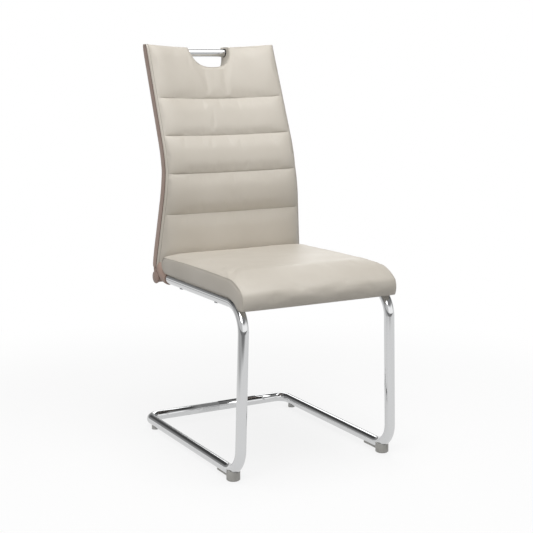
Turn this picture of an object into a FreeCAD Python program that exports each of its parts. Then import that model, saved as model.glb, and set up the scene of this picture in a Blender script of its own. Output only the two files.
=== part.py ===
import FreeCAD, Part
import math
import os

import Sketcher
from FreeCAD import Placement, Rotation, Vector

# Cantilever dining chair: a bent round-tube frame with no back legs, an upholstered
# seat on the frame's rails, and a high quilted back with a carrying handle in its top.
# Front is -Y, up is +Z. The pieces are drawn with Y = 0 at the two uprights and each is
# placed origin_setback behind that, so the origin lies under the middle of the chair.

doc = FreeCAD.newDocument("cantilever_chair")
sheet = doc.addObject("Spreadsheet::Sheet", "dims")

DRIVING_SIZES = (
    ("origin_setback", 284, "from the uprights back to the middle of the chair's depth"),
    ("tube_diameter", 25, "frame tube, outside"),
    ("tube_wall", 2, "frame tube wall"),
    ("base_width", 412, "between the runners' centre lines"),
    ("base_depth", 520, "from the uprights to the rear floor bar, on centre lines"),
    ("floor_gap", 7.5, "under the floor tube, held by the glides"),
    ("corner_bend", 30, "centre-line radius of the rear floor corners"),
    ("foot_bend", 60, "centre-line radius where runner meets upright"),
    ("front_bend", 62, "centre-line radius where upright meets rail"),
    ("rear_bend", 55, "centre-line radius where rail meets back post"),
    ("lumbar_bend", 320, "centre-line radius of the back posts' gentle bend"),
    ("rail_width", 390, "between the seat rails' centre lines"),
    ("rail_height", 410, "seat rail centre line above the floor"),
    ("post_depth", 458, "from the uprights to the foot of the back posts"),
    ("lumbar_rise", 264, "from the rail up to the gentle bend"),
    ("lumbar_depth", 431.6, "from the uprights to the gentle bend"),
    ("lumbar_inset", 26, "how far each post has come in from its rail there"),
    ("head_rise", 549, "from the rail up to the handle tube"),
    ("head_depth", 546.6, "from the uprights to the posts at the handle tube"),
    ("head_inset", 29, "how far each post has come in from its rail there"),
    ("post_overrun", 9, "post above the handle tube's centre"),
    ("seat_margin", 12, "seat side beyond the rail's centre line"),
    ("seat_front", 24.5, "crown of the front edge ahead of the uprights"),
    ("seat_rear", 402, "seat's rear edge behind the uprights"),
    ("seat_edge_rise", 54, "side seam above the rail's centre line"),
    ("seat_crown", 14, "middle of the seat above its side seam"),
    ("seat_slope", 9, "fall of the seat's top towards the rear"),
    ("lip_drop", 8.5, "bottom of the front edge below the rail's centre line"),
    ("cover_thickness", 1.2, "upholstery cover"),
    ("cloth_thickness", 0.6, "cloth under the seat"),
    ("fit_gap", 0.3, "between pieces that lie against each other"),
    ("board_thickness", 12, "plywood under the seat foam"),
    ("board_margin", 4, "seat board inside the seat's side"),
    ("board_front", 34, "seat board's front edge behind the uprights"),
    ("board_rear", 380, "seat board's rear edge behind the uprights"),
    ("board_corner", 22, "radius of the seat board's corners"),
    ("bar_diameter", 20, "cross bars and handle tube, outside"),
    ("bar_wall", 1.5, "cross bar wall"),
    ("front_bar_depth", 96, "front seat cross bar behind the uprights"),
    ("rear_bar_depth", 346, "rear seat cross bar behind the uprights"),
    ("sleeve_length", 80, "spigot inside the floor bar's joint"),
    ("bolt_diameter", 6, "seat bolts"),
    ("bolt_head", 11, "seat bolt head, across"),
    ("bolt_head_height", 4, "seat bolt head, high"),
    ("front_bolt_depth", 130, "front seat bolts behind the uprights"),
    ("rear_bolt_depth", 318, "rear seat bolts behind the uprights"),
    ("washer_diameter", 15, "saddle washers under the rails"),
    ("washer_height", 2, "washer below the rail's underside"),
    ("tee_flange", 18, "tee nut flange across"),
    ("tee_flange_height", 1.5, "tee nut flange"),
    ("tee_barrel", 8, "tee nut barrel across"),
    ("tee_depth", 9, "tee nut barrel in the board"),
    ("back_padding", 3.5, "padding and cover behind the plywood, and as much before"),
    ("back_side", 5, "padding outside the posts"),
    ("side_round", 5, "seam line inside the widest line of the back"),
    ("back_foot_rise", 22, "back's lower edge above the rail's centre line"),
    ("back_top_rise", 578, "back's top corners above the rail's centre line"),
    ("back_hollow", 32, "how far the top's middle lies behind its sides"),
    ("top_dip", 15.7, "how far the top's middle lies below its corners"),
    ("hollow_start", 70, "height above the rail where hollow and dip begin"),
    ("panel_swell", 10, "quilted panel proud of the side seams"),
    ("seam_swell", 1.5, "sewn channel proud of the side seams"),
    ("seam_one", 157, "lowest sewn channel above the rail"),
    ("seam_two", 259, "second sewn channel above the rail"),
    ("seam_three", 353, "third sewn channel above the rail"),
    ("seam_four", 446, "highest sewn channel above the rail"),
    ("panel_thickness", 6, "moulded plywood in the back"),
    ("panel_margin", 4, "plywood beyond each post's centre line"),
    ("handle_bow", 27, "handle tube's middle behind its ends"),
    ("handle_straight", 170, "straight middle of the handle tube"),
    ("handle_bend", 60, "centre-line radius of the handle tube's two bends"),
    ("grip_half_width", 61, "half width of the hand hole"),
    ("grip_depth", 54, "hand hole below the top edge at the middle"),
    ("lining_thickness", 1.2, "leather in the hand hole"),
    ("collar_wall", 1.25, "end collars of the handle"),
    ("collar_length", 5, "end collars of the handle, along"),
    ("cuff_start", 395, "front end of the rail cuffs behind the uprights"),
    ("cuff_thickness", 3, "rail cuff with its padding"),
    ("roll_cover", 2, "cover round the lower cross tube"),
    ("roll_overhang", 9, "lower cross tube beyond the rail's centre line"),
    ("roll_angle", 46, "direction of the lower cross tube from the rear bend's centre"),
    ("cap_thickness", 2.5, "end cap of the lower cross tube"),
    ("glide_diameter", 32, "front glide cup"),
    ("glide_height", 24, "front glide cup"),
    ("glide_depth", 34, "front glide behind the uprights"),
    ("glide_bevel", 2, "bevel under the glides"),
    ("tail_width", 13, "front glide's tail"),
    ("tail_length", 70, "front glide's tail, from the cup's centre"),
    ("tail_thickness", 2.8, "front glide's tail"),
    ("screw_depth", 99, "glide screw behind the uprights"),
    ("screw_diameter", 4, "glide screw"),
    ("screw_head", 7.5, "glide screw head"),
    ("screw_head_height", 2.2, "glide screw head"),
    ("rear_glide_depth", 474, "rear glide behind the uprights"),
    ("rear_glide_diameter", 24, "rear glide"),
    ("peg_diameter", 6, "rear glide's peg"),
    ("panel_rise", 62, "plywood's lower edge above the back's"),
    ("screw_one", 120, "lowest plywood screws above the rail"),
    ("screw_two", 380, "middle plywood screws above the rail"),
    ("screw_three", 500, "highest plywood screws above the rail"),
    ("back_screw_diameter", 5, "screws that hold the plywood to the posts"),
    ("back_screw_head", 9, "their heads"),
)

for row, (alias, value, note) in enumerate(DRIVING_SIZES, start=1):
    sheet.set(f"A{row}", alias)
    sheet.set(f"B{row}", str(value))
    sheet.set(f"C{row}", note)
    sheet.setAlias(f"B{row}", alias)
doc.recompute()


def size(alias):
    return float(sheet.get(alias))


PARTS = []
SIDES = (("left", -1), ("right", 1))
fit_gap = size("fit_gap")


def place(piece, label, x="0", y="0", z="0"):
    """Names a finished sub-part and places it by expressions on the sheet."""
    piece.Label = label
    piece.setExpression("Placement.Base.x", x)
    piece.setExpression("Placement.Base.y", f"{y} - dims.origin_setback")
    piece.setExpression("Placement.Base.z", z)
    PARTS.append(piece)
    return piece


def shape_part(label, shape):
    """A sub-part whose shape follows a bent line or a sewn form."""
    piece = doc.addObject("Part::Feature", label)
    piece.Shape = shape
    return place(piece, label)


def hidden_shape(name, shape):
    """A shape that only cuts other pieces."""
    piece = doc.addObject("Part::Feature", name)
    piece.Shape = shape
    return piece


def cylinder(name, radius, height, x="0", y="0", z="0", along="Z"):
    """A round bar with every size and place given as an expression."""
    bar = doc.addObject("Part::Cylinder", name)
    if along == "X":
        bar.Placement = Placement(Vector(), Rotation(Vector(0, 1, 0), 90))
    bar.setExpression("Radius", radius)
    bar.setExpression("Height", height)
    bar.setExpression("Placement.Base.x", x)
    bar.setExpression("Placement.Base.y", y)
    bar.setExpression("Placement.Base.z", z)
    return bar


def cut(name, base, tool):
    piece = doc.addObject("Part::Cut", name)
    piece.Base = base
    piece.Tool = tool
    return piece


def fuse(name, shapes):
    piece = doc.addObject("Part::MultiFuse", name)
    piece.Shapes = shapes
    return piece


def group(name, links):
    piece = doc.addObject("Part::Compound", name)
    piece.Links = links
    return piece


def new_body(name):
    body = doc.addObject("PartDesign::Body", name)
    return body


def new_sketch(body, name, role):
    plane = next(item for item in body.Origin.OriginFeatures if item.Role == role)
    sketch = body.newObject("Sketcher::SketchObject", name)
    sketch.AttachmentSupport = (plane, "")
    sketch.MapMode = "FlatFace"
    return sketch


def draw_circle(sketch, radius):
    """A circle round the sketch's origin, its radius an expression."""
    index = sketch.addGeometry(Part.Circle(Vector(), Vector(0, 0, 1), 10.0 + sketch.GeometryCount))
    sketch.addConstraint(Sketcher.Constraint("Coincident", index, 3, -1, 1))
    number = sketch.addConstraint(Sketcher.Constraint("Radius", index, 10.0 + index))
    sketch.setExpression(f"Constraints[{number}]", radius)


def draw_rectangle(sketch, width, depth):
    """A rectangle centred on the sketch's origin, its sides expressions."""
    corners = [Vector(-5, -4, 0), Vector(5, -4, 0), Vector(5, 4, 0), Vector(-5, 4, 0)]
    for start, end in zip(corners, corners[1:] + corners[:1]):
        sketch.addGeometry(Part.LineSegment(start, end))
    for index in range(4):
        sketch.addConstraint(Sketcher.Constraint("Coincident", index, 2, (index + 1) % 4, 1))
    for index, kind in enumerate(("Horizontal", "Vertical", "Horizontal", "Vertical")):
        sketch.addConstraint(Sketcher.Constraint(kind, index))
    sketch.addConstraint(Sketcher.Constraint("Symmetric", 0, 1, 1, 2, -1, 1))
    number = sketch.addConstraint(Sketcher.Constraint("DistanceX", 0, 1, 0, 2, 10.0))
    sketch.setExpression(f"Constraints[{number}]", width)
    number = sketch.addConstraint(Sketcher.Constraint("DistanceY", 1, 1, 1, 2, 8.0))
    sketch.setExpression(f"Constraints[{number}]", depth)


def pad(body, name, sketch, length, both_ways=False):
    feature = body.newObject("PartDesign::Pad", name)
    feature.Profile = sketch
    feature.setExpression("Length", length)
    feature.Midplane = both_ways
    doc.recompute()
    return feature


# Frame: two mirrored tubes, each bent from the middle of the floor bar to the top of a back post
tube_radius = size("tube_diameter") / 2
bore_radius = tube_radius - size("tube_wall")
bar_radius = size("bar_diameter") / 2
floor_line = size("floor_gap") + tube_radius
rail_line = size("rail_height")
half_rail = size("rail_width") / 2


def bent_path(points, radii):
    """Straight runs joined by tangent arcs, one radius for each inner point."""
    points = [Vector(*point) for point in points]
    edges = []
    start = points[0]
    for before, corner, after, radius in zip(points, points[1:], points[2:], radii):
        back = (before - corner).normalize()
        ahead = (after - corner).normalize()
        half_angle = back.getAngle(ahead) / 2
        reach = radius / math.tan(half_angle)
        middle = (back + ahead).normalize()
        first = corner + back * reach
        last = corner + ahead * reach
        through = corner + middle * (radius / math.sin(half_angle) - radius)
        edges.append(Part.LineSegment(start, first).toShape())
        edges.append(Part.Arc(first, through, last).toShape())
        start = last
    edges.append(Part.LineSegment(start, points[-1]).toShape())
    return Part.Wire(edges)


def stepped_path(points, radii, steps):
    """The same route in short straight runs round each bend, for bores and sewn sleeves."""
    points = [Vector(*point) for point in points]
    stops = [points[0]]
    for before, corner, after, radius in zip(points, points[1:], points[2:], radii):
        back = (before - corner).normalize()
        ahead = (after - corner).normalize()
        half_angle = back.getAngle(ahead) / 2
        turn = math.pi - 2 * half_angle
        centre = corner + (back + ahead).normalize() * (radius / math.sin(half_angle))
        spoke = corner + back * (radius / math.tan(half_angle)) - centre
        reach = radius / math.cos(turn / steps / 2)
        for step in range(steps):
            angle = (step + 0.5) * turn / steps
            offset = spoke * math.cos(angle) - back * (radius * math.sin(angle))
            stops.append(centre + offset.normalize() * reach)
    stops.append(points[-1])
    return Part.makePolygon(stops)


ROUND_BENDS = 0
MITRED_BENDS = 1


def round_bar(path, radius, bends=ROUND_BENDS):
    """A solid round bar along a path."""
    first = path.OrderedEdges[0]
    start = first.valueAt(first.FirstParameter)
    heading = first.tangentAt(first.FirstParameter)
    ring = Part.Wire([Part.makeCircle(radius, start, heading)])
    return path.makePipeShell([ring], True, False, bends)


def line_point(start, end, height):
    """The point at a height on the line through two points."""
    share = (height - start[2]) / (end[2] - start[2])
    return tuple(a + (b - a) * share for a, b in zip(start, end))


def frame_points(side):
    foot = side * size("base_width") / 2
    rail = side * half_rail
    post_foot = (rail, size("post_depth"), rail_line)
    lumbar = (side * (half_rail - size("lumbar_inset")), size("lumbar_depth"),
              rail_line + size("lumbar_rise"))
    head = (side * (half_rail - size("head_inset")), size("head_depth"),
            rail_line + size("head_rise"))
    top = line_point(lumbar, head, head[2] + size("post_overrun"))
    return [
        (0, size("base_depth"), floor_line),
        (foot, size("base_depth"), floor_line),
        (foot, 0, floor_line),
        (rail, 0, rail_line),
        post_foot,
        lumbar,
        top,
    ]


FRAME_RADII = [size(name) for name in
               ("corner_bend", "foot_bend", "front_bend", "rear_bend", "lumbar_bend")]


BORE_STEPS = 4


def frame_bar(side, radius):
    return round_bar(bent_path(frame_points(side), FRAME_RADII), radius)


def frame_bore(side):
    route = stepped_path(frame_points(side), FRAME_RADII, BORE_STEPS)
    return round_bar(route, bore_radius, MITRED_BENDS)


FRAME_SOLID = {name: frame_bar(side, tube_radius) for name, side in SIDES}


def upright_pin(x, y, radius, low, high):
    return Part.makeCylinder(radius, high - low, Vector(x, y, low))


bolt_spots = [(side * half_rail, size(depth))
              for depth in ("front_bolt_depth", "rear_bolt_depth") for name, side in SIDES]
bolt_hole_radius = size("bolt_diameter") / 2 + fit_gap

# Spigot that lines up the two tubes inside the floor bar, under the weld
spigot = new_body("floor_joint_spigot_body")
spigot_sketch = new_sketch(spigot, "spigot_section", "YZ_Plane")
draw_circle(spigot_sketch, "dims.tube_diameter / 2 - dims.tube_wall - 0.1")
draw_circle(spigot_sketch, "dims.tube_diameter / 2 - 2 * dims.tube_wall - 0.1")
pad(spigot, "spigot_length", spigot_sketch, "dims.sleeve_length", both_ways=True)
place(spigot, "floor_joint_spigot", y="dims.base_depth",
      z="dims.floor_gap + dims.tube_diameter / 2")


# Seat cross bars: short tubes coped to the rails and welded between them
def seat_cross_bar(label, depth):
    body = new_body(label + "_body")
    section = new_sketch(body, label + "_section", "YZ_Plane")
    draw_circle(section, "dims.bar_diameter / 2")
    draw_circle(section, "dims.bar_diameter / 2 - dims.bar_wall")
    pad(body, label + "_length", section, "dims.rail_width", both_ways=True)
    rails = [cylinder(f"{label}_rail_{name}", "dims.tube_diameter / 2", "dims.tube_diameter * 2",
                      x=f"{side} * dims.rail_width / 2", y="-dims.tube_diameter")
             for name, side in SIDES]
    for rail in rails:
        rail.Placement.Rotation = Rotation(Vector(1, 0, 0), -90)
    coped = cut(label, body, fuse(label + "_rails", rails))
    return place(coped, label, y=f"dims.{depth}", z="dims.rail_height")


seat_cross_bar("seat_cross_bar_front", "front_bar_depth")
seat_cross_bar("seat_cross_bar_rear", "rear_bar_depth")


# Seat: board, foam, sewn cover with a rolled front edge, side panels and underside cloth
seat_half = half_rail + size("seat_margin")
skin = size("cover_thickness")
seat_underside = rail_line + tube_radius + fit_gap
bend_centre_y = size("front_bend")
bend_centre_z = rail_line - size("front_bend")


def seat_outline(x, fullness, inset=0.0):
    """Side view of the seat at one x: fullness 0 is the side seam, 1 the crowned middle."""
    bottom = seat_underside + inset
    lip = rail_line - size("lip_drop") + inset
    room = size("front_bend") + tube_radius + fit_gap + inset
    lip_back = bend_centre_y - math.sqrt(room ** 2 - (lip - bend_centre_z) ** 2)
    turn = math.radians(115)
    under_bend = (bend_centre_y + room * math.cos(turn), bend_centre_z + room * math.sin(turn))
    edge_top = rail_line + size("seat_edge_rise")
    crown = size("seat_crown")
    front = -(size("seat_front") - 12.5) - 12.5 * fullness + inset
    top = edge_top + crown * fullness - inset
    shoulder_back = 62 + 27 * fullness
    shoulder_top = top - 0.5 * (1 - fullness)
    rear = size("seat_rear") - inset
    rear_top = edge_top - 2 + (crown - size("seat_slope") + 3) * fullness - inset
    points = {
        "lip_front": (front + 3 + 6 * fullness, lip),
        "nose": (front, lip - inset + 17),
        "brow": (front + 5 - 1.5 * fullness, lip + 36 + 3 * fullness - 1.5 * inset),
        "shoulder_rise": (19.5 - 11 * fullness + 0.7 * inset,
                          lip + 53.5 + 7 * fullness - 1.7 * inset),
        "shoulder": (shoulder_back, shoulder_top),
        "top": (210, top + 1.5 * (1 - fullness) - 0.8 * fullness),
        "rear_top": (rear - 25, rear_top),
        "rear_round": (rear - 6, rear_top - 7),
        "rear": (rear, rear_top - 20),
        "rear_under": (rear - 4.5, bottom + 7),
        "heel": (rear - 16, bottom),
        "bend_start": (bend_centre_y, bottom),
        "under_bend": under_bend,
        "lip_back": (lip_back, lip),
    }
    order = (
        ("lip_front", "nose", "brow"),
        ("brow", "shoulder_rise", "shoulder"),
        ("shoulder", "top", "rear_top"),
        ("rear_top", "rear_round", "rear"),
        ("rear", "rear_under", "heel"),
        ("heel", None, "bend_start"),
        ("bend_start", "under_bend", "lip_back"),
        ("lip_back", None, "lip_front"),
    )
    edges = []
    for first, through, last in order:
        ends = [Vector(x, *points[first]), Vector(x, *points[last])]
        if through is None:
            edges.append(Part.LineSegment(*ends).toShape())
        else:
            edges.append(Part.Arc(ends[0], Vector(x, *points[through]), ends[1]).toShape())
    return Part.Wire(edges)


# How full the seat is at each share of its half width
SEAT_STATIONS = ((0, 1.0), (0.7, 0.95), (0.88, 0.8), (0.955, 0.55), (1, 0.1))


def seat_form(half_width, inset):
    """The seat's outer form, set in by an even amount and drawn across its width."""
    rows = [(share * seat_half, fullness) for share, fullness in SEAT_STATIONS]
    rows[-1] = (half_width, rows[-1][1])
    both = [(-x, fullness) for x, fullness in reversed(rows[1:])] + rows
    wires = [seat_outline(x, fullness, inset) for x, fullness in both]
    return Part.makeLoft(wires, True, True)


def seat_bolt_room(shape, radius):
    for x, y in bolt_spots:
        shape = shape.cut(upright_pin(x, y, radius, rail_line, rail_line + 3 * tube_radius))
    return shape


hem_width = 26
cover_half = seat_half - skin
cover = seat_form(cover_half, 0).cut(seat_form(cover_half + 1, skin))
opening = Part.makeBox(2 * (cover_half - hem_width), size("board_rear") - 2 * hem_width - 40,
                       3 * skin,
                       Vector(hem_width - cover_half, 40 + hem_width, seat_underside - skin))
cover = seat_bolt_room(cover.cut(opening), bolt_hole_radius)
shape_part("seat_cover", cover)

for name, side in SIDES:
    outline = Part.Face(seat_outline(side * cover_half, 0.0))
    shape_part(f"seat_side_panel_{name}", outline.extrude(Vector(side * skin, 0, 0)))

board = new_body("seat_board_body")
board_sketch = new_sketch(board, "board_outline", "XY_Plane")
draw_rectangle(board_sketch, "dims.rail_width + 2 * dims.seat_margin - 2 * dims.board_margin",
               "dims.board_rear - dims.board_front")
board_pad = pad(board, "board_pad", board_sketch, "dims.board_thickness")
corners = [f"Edge{index}" for index, edge in enumerate(board_pad.Shape.Edges, start=1)
           if abs(edge.tangentAt(edge.FirstParameter).z) > 0.9]
board_round = board.newObject("PartDesign::Fillet", "board_corners")
board_round.Base = (board_pad, corners)
board_round.setExpression("Radius", "dims.board_corner")
board.setExpression("Placement.Base.y", "(dims.board_front + dims.board_rear) / 2")
board.setExpression("Placement.Base.z",
                    "dims.rail_height + dims.tube_diameter / 2 + 2 * dims.fit_gap"
                    " + dims.cover_thickness")

BOARD_BOTTOM = ("dims.rail_height + dims.tube_diameter / 2 + 2 * dims.fit_gap"
                " + dims.cover_thickness")
BOARD_TOP = BOARD_BOTTOM + " + dims.board_thickness"
BOLT_SPOTS = [(f"{side} * dims.rail_width / 2", f"dims.{depth}")
              for depth in ("front_bolt_depth", "rear_bolt_depth") for name, side in SIDES]

board_holes = []
nuts = []
bolts = []
washers = []
for number, (x, y) in enumerate(BOLT_SPOTS, start=1):
    board_holes.append(cylinder(f"barrel_room_{number}", "dims.tee_barrel / 2 + 0.1",
                                "dims.board_thickness + 2", x, y, BOARD_BOTTOM + " - 1"))
    board_holes.append(cylinder(f"flange_room_{number}", "dims.tee_flange / 2 + dims.fit_gap",
                                "dims.tee_flange_height + 1", x, y,
                                BOARD_TOP + " - dims.tee_flange_height"))
    nut_blank = fuse(f"nut_blank_{number}", [
        cylinder(f"nut_flange_{number}", "dims.tee_flange / 2", "dims.tee_flange_height", x, y,
                 BOARD_TOP + " - dims.tee_flange_height"),
        cylinder(f"nut_barrel_{number}", "dims.tee_barrel / 2", "dims.tee_depth", x, y,
                 BOARD_TOP + " - dims.tee_depth"),
    ])
    nuts.append(cut(f"nut_{number}", nut_blank,
                    cylinder(f"nut_bore_{number}", "dims.bolt_diameter / 2 + 0.1",
                             "dims.board_thickness * 2", x, y, BOARD_BOTTOM)))
    head_low = ("dims.rail_height - dims.tube_diameter / 2 - dims.washer_height"
                " - dims.bolt_head_height")
    head = cylinder(f"bolt_head_{number}", "dims.bolt_head / 2", "dims.bolt_head_height", x, y,
                    head_low)
    shank = cylinder(f"bolt_shank_{number}", "dims.bolt_diameter / 2",
                     "dims.bolt_head_height + dims.washer_height + dims.tube_diameter"
                     " + dims.board_thickness", x, y, head_low)
    socket = doc.addObject("Part::Prism", f"bolt_socket_{number}")
    socket.Polygon = 6
    socket.setExpression("Circumradius", "dims.bolt_diameter * 0.38")
    socket.setExpression("Height", "dims.bolt_head_height * 0.7")
    socket.setExpression("Placement.Base.x", x)
    socket.setExpression("Placement.Base.y", y)
    socket.setExpression("Placement.Base.z", head_low)
    bolts.append(cut(f"bolt_{number}", fuse(f"bolt_blank_{number}", [head, shank]), socket))
    washer_blank = cylinder(f"washer_blank_{number}", "dims.washer_diameter / 2",
                            "dims.washer_height + dims.tube_diameter / 8", x, y,
                            "dims.rail_height - dims.tube_diameter / 2 - dims.washer_height")
    saddle = cylinder(f"washer_saddle_{number}", "dims.tube_diameter / 2",
                      "dims.washer_diameter * 2", x, y + " - dims.washer_diameter",
                      "dims.rail_height")
    saddle.Placement.Rotation = Rotation(Vector(1, 0, 0), -90)
    washer_hole = cylinder(f"washer_hole_{number}", "dims.bolt_diameter / 2 + 0.1",
                           "dims.tube_diameter", x, y, head_low)
    washers.append(cut(f"washer_{number}", washer_blank,
                       fuse(f"washer_cuts_{number}", [saddle, washer_hole])))

board_cut = cut("seat_board", board, fuse("board_cuts", board_holes))
place(board_cut, "seat_board")
place(group("tee_nuts", nuts), "tee_nuts")
place(group("seat_bolts", bolts), "seat_bolts")
place(group("seat_saddle_washers", washers), "seat_saddle_washers")

doc.recompute()
board_top = seat_underside + skin + fit_gap + size("board_thickness")
foam = seat_form(seat_half - skin - fit_gap, skin + 2 * fit_gap)
board_room = Part.makeBox(3 * seat_half, 2 * size("seat_rear"), board_top + fit_gap,
                          Vector(-1.5 * seat_half, size("board_front") - fit_gap, 0))
shape_part("seat_foam", foam.cut(board_room))

cloth = new_body("seat_under_cloth_body")
cloth_sketch = new_sketch(cloth, "cloth_outline", "XY_Plane")
draw_rectangle(cloth_sketch, "dims.rail_width - 24", "dims.board_rear - 76")
pad(cloth, "cloth_pad", cloth_sketch, "dims.cloth_thickness")
place(cloth, "seat_under_cloth", y="(dims.board_rear + 70) / 2",
      z="dims.rail_height + dims.tube_diameter / 2 + dims.fit_gap - dims.cloth_thickness - 0.1")


# Back: the shape follows the posts, with a hollow across it and four sewn channels
post_foot, lumbar, post_top = frame_points(1)[4:]
lower_lean = (lumbar[1] - post_foot[1]) / (lumbar[2] - post_foot[2])
upper_lean = (post_top[1] - lumbar[1]) / (post_top[2] - lumbar[2])
bend_reach = size("lumbar_bend") * math.tan((math.atan(upper_lean) - math.atan(lower_lean)) / 2)
bend_low = lumbar[2] - bend_reach * math.cos(math.atan(lower_lean))
bend_high = lumbar[2] + bend_reach * math.cos(math.atan(upper_lean))
hollow_low = rail_line + size("hollow_start")
back_foot = rail_line + size("back_foot_rise")
back_top = rail_line + size("back_top_rise")
head_height = rail_line + size("head_rise")
half_thick = size("tube_diameter") / 2 + size("panel_thickness") + size("back_padding")
SIDE_ROLL = 36


def post_line(height):
    """Depth of the posts' centre line at a height: straight, one arc, straight."""
    if height <= bend_low:
        return lumbar[1] + (height - lumbar[2]) * lower_lean
    if height >= bend_high:
        return lumbar[1] + (height - lumbar[2]) * upper_lean
    radius = size("lumbar_bend")
    slant = math.hypot(1, lower_lean)
    start = lumbar[1] + (bend_low - lumbar[2]) * lower_lean
    centre_y = start + radius / slant
    centre_z = bend_low - radius * lower_lean / slant
    return centre_y - math.sqrt(radius ** 2 - (height - centre_z) ** 2)


def post_x(height):
    start, end = (post_foot, lumbar) if height < lumbar[2] else (lumbar, post_top)
    return line_point(start, end, height)[0]


def hollow_share(height):
    return max(0.0, (height - hollow_low) / (back_top - hollow_low))


def hollowed(x, offset, height, half_width):
    """A point on the arc that hollows the back at a height: middle further back and lower."""
    share = hollow_share(height)
    drop = size("top_dip") * share
    depth = size("back_hollow") * share
    sag = math.hypot(depth - post_line(height) + post_line(height - drop), drop)
    if sag < 0.01:
        return (x, post_line(height) + offset, height)
    radius = (half_width ** 2 + sag ** 2) / (2 * sag)
    middle = 1 - (radius - math.sqrt(radius ** 2 - x ** 2)) / sag
    z = height - drop * middle
    return (x, post_line(z) + depth * middle + offset, z)


def arc(start, through, end):
    start, through, end = Vector(*start), Vector(*through), Vector(*end)
    if (through - start).cross(end - through).Length < 0.001:
        return Part.LineSegment(start, end).toShape()
    return Part.Arc(start, through, end).toShape()


def line(start, end):
    return Part.LineSegment(Vector(*start), Vector(*end)).toShape()


SEAM_OFFSET = -2
SEAM_GAP = 0.4


def widest_line(height):
    return post_x(height) + tube_radius + size("back_side")


def front_line(height, share, swell, inset):
    """Five edges from the left seam round the quilted front to the right seam."""
    widest = widest_line(height) - inset
    edge = widest - size("side_round")
    front = inset - share * half_thick
    points = {}
    for name, side in SIDES:
        points[name] = (
            (side * widest, post_line(height) + SEAM_OFFSET, height),
            (side * (widest - 1), post_line(height) + 0.55 * front, height),
            (side * edge, post_line(height) + front, height),
            hollowed(side * (edge - 0.33 * SIDE_ROLL), front - 0.66 * swell - 0.6, height, edge),
            hollowed(side * (edge - SIDE_ROLL), front - swell, height, edge),
        )
    left, right = points["left"], points["right"]
    return [
        arc(left[0], left[1], left[2]),
        arc(left[2], left[3], left[4]),
        arc(left[4], hollowed(0, front - swell, height, edge), right[4]),
        arc(right[4], right[3], right[2]),
        arc(right[2], right[1], right[0]),
    ]


def rear_line(height, share, inset):
    """Three edges from the right seam round the plain rear to the left seam."""
    widest = widest_line(height) - inset
    edge = widest - size("side_round") - 1
    rear = share * half_thick - inset
    points = {}
    for name, side in SIDES:
        points[name] = (
            (side * widest, post_line(height) + SEAM_OFFSET + SEAM_GAP, height),
            (side * (widest - 1), post_line(height) + 0.55 * rear, height),
            (side * edge, post_line(height) + rear, height),
        )
    left, right = points["left"], points["right"]
    return [
        arc(right[0], right[1], right[2]),
        arc(right[2], hollowed(0, rear, height, edge), left[2]),
        arc(left[2], left[1], left[0]),
    ]


def closed_form(rings, caps):
    """A solid through rings of edges in straight runs; each cap joins pairs of edges."""
    faces = Part.makeLoft([Part.Wire(ring) for ring in rings], False, True).Faces
    for ring in (rings[0], rings[-1]):
        faces += [Part.makeRuledSurface(ring[first], ring[last]) for first, last in caps]
    form = Part.makeCompound(faces)
    form.sewShape()
    return Part.Solid(form.Shells[0])


def skin_form(rows, edges_at):
    """A sewn cover: an outer and an inner line at every row, closed along both seams."""
    rings = []
    for row in rows:
        outer = edges_at(row, 0.0)
        inner = edges_at(row, skin)
        first = line(outer[-1].lastVertex(True).Point, inner[-1].lastVertex(True).Point)
        last = line(inner[0].firstVertex(True).Point, outer[0].firstVertex(True).Point)
        backward = [reversed_edge(edge) for edge in reversed(inner)]
        rings.append(outer + [first] + backward + [last])
    count = len(outer)
    caps = [(index, 2 * count - index) for index in range(count)]
    return closed_form(rings, caps)


def reversed_edge(edge):
    """The same line or arc drawn from its other end."""
    low, high = edge.FirstParameter, edge.LastParameter
    start, through, end = (edge.valueAt(low + (high - low) * share) for share in (1, 0.5, 0))
    return arc(start, through, end)


# Rows of the back, bottom to top: height, share of the full thickness, swell of the quilting
swell = size("panel_swell")
pinch = size("seam_swell")
seams = [rail_line + size(name) for name in ("seam_one", "seam_two", "seam_three", "seam_four")]
foot_run = seams[0] - back_foot
top_run = back_top - seams[-1]
strip_gap = 0.4
strip_bottom = back_top - skin - strip_gap
BACK_ROWS = [
    (back_foot, 0.72, 0.0),
    (back_foot + 0.11 * foot_run, 0.88, 0.4 * swell),
    (back_foot + 0.32 * foot_run, 0.98, 0.8 * swell),
    (back_foot + 0.58 * foot_run, 1.0, swell),
    (back_foot + 0.86 * foot_run, 1.0, 0.7 * swell),
]
for low, high in zip(seams, seams[1:]):
    BACK_ROWS += [(low + place_between * (high - low), 1.0, height) for place_between, height in
                  ((0, pinch), (0.14, 0.65 * swell), (0.36, swell), (0.64, swell),
                   (0.86, 0.65 * swell))]
BACK_ROWS += [
    (seams[-1], 1.0, pinch),
    (seams[-1] + 0.12 * top_run, 1.0, 0.7 * swell),
    (seams[-1] + 0.36 * top_run, 1.0, swell),
    (seams[-1] + 0.7 * top_run, 1.0, swell),
    (back_top - 14, 0.86, 0.8 * swell),
    (strip_bottom, 0.55, 0.5 * swell),
]
SMOOTH_ROWS = [
    (back_foot, 0.72, 0.0),
    (back_foot + 0.11 * foot_run, 0.88, 0.0),
    (back_foot + 0.32 * foot_run, 0.98, 0.0),
    (bend_low, 1.0, 0.0),
    ((2 * bend_low + bend_high) / 3, 1.0, 0.0),
    (lumbar[2], 1.0, 0.0),
    ((bend_low + 2 * bend_high) / 3, 1.0, 0.0),
    (bend_high, 1.0, 0.0),
    (seams[-1] + 0.7 * top_run, 1.0, 0.0),
    (back_top - 14, 0.86, 0.0),
    (strip_bottom, 0.55, 0.0),
]


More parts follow.
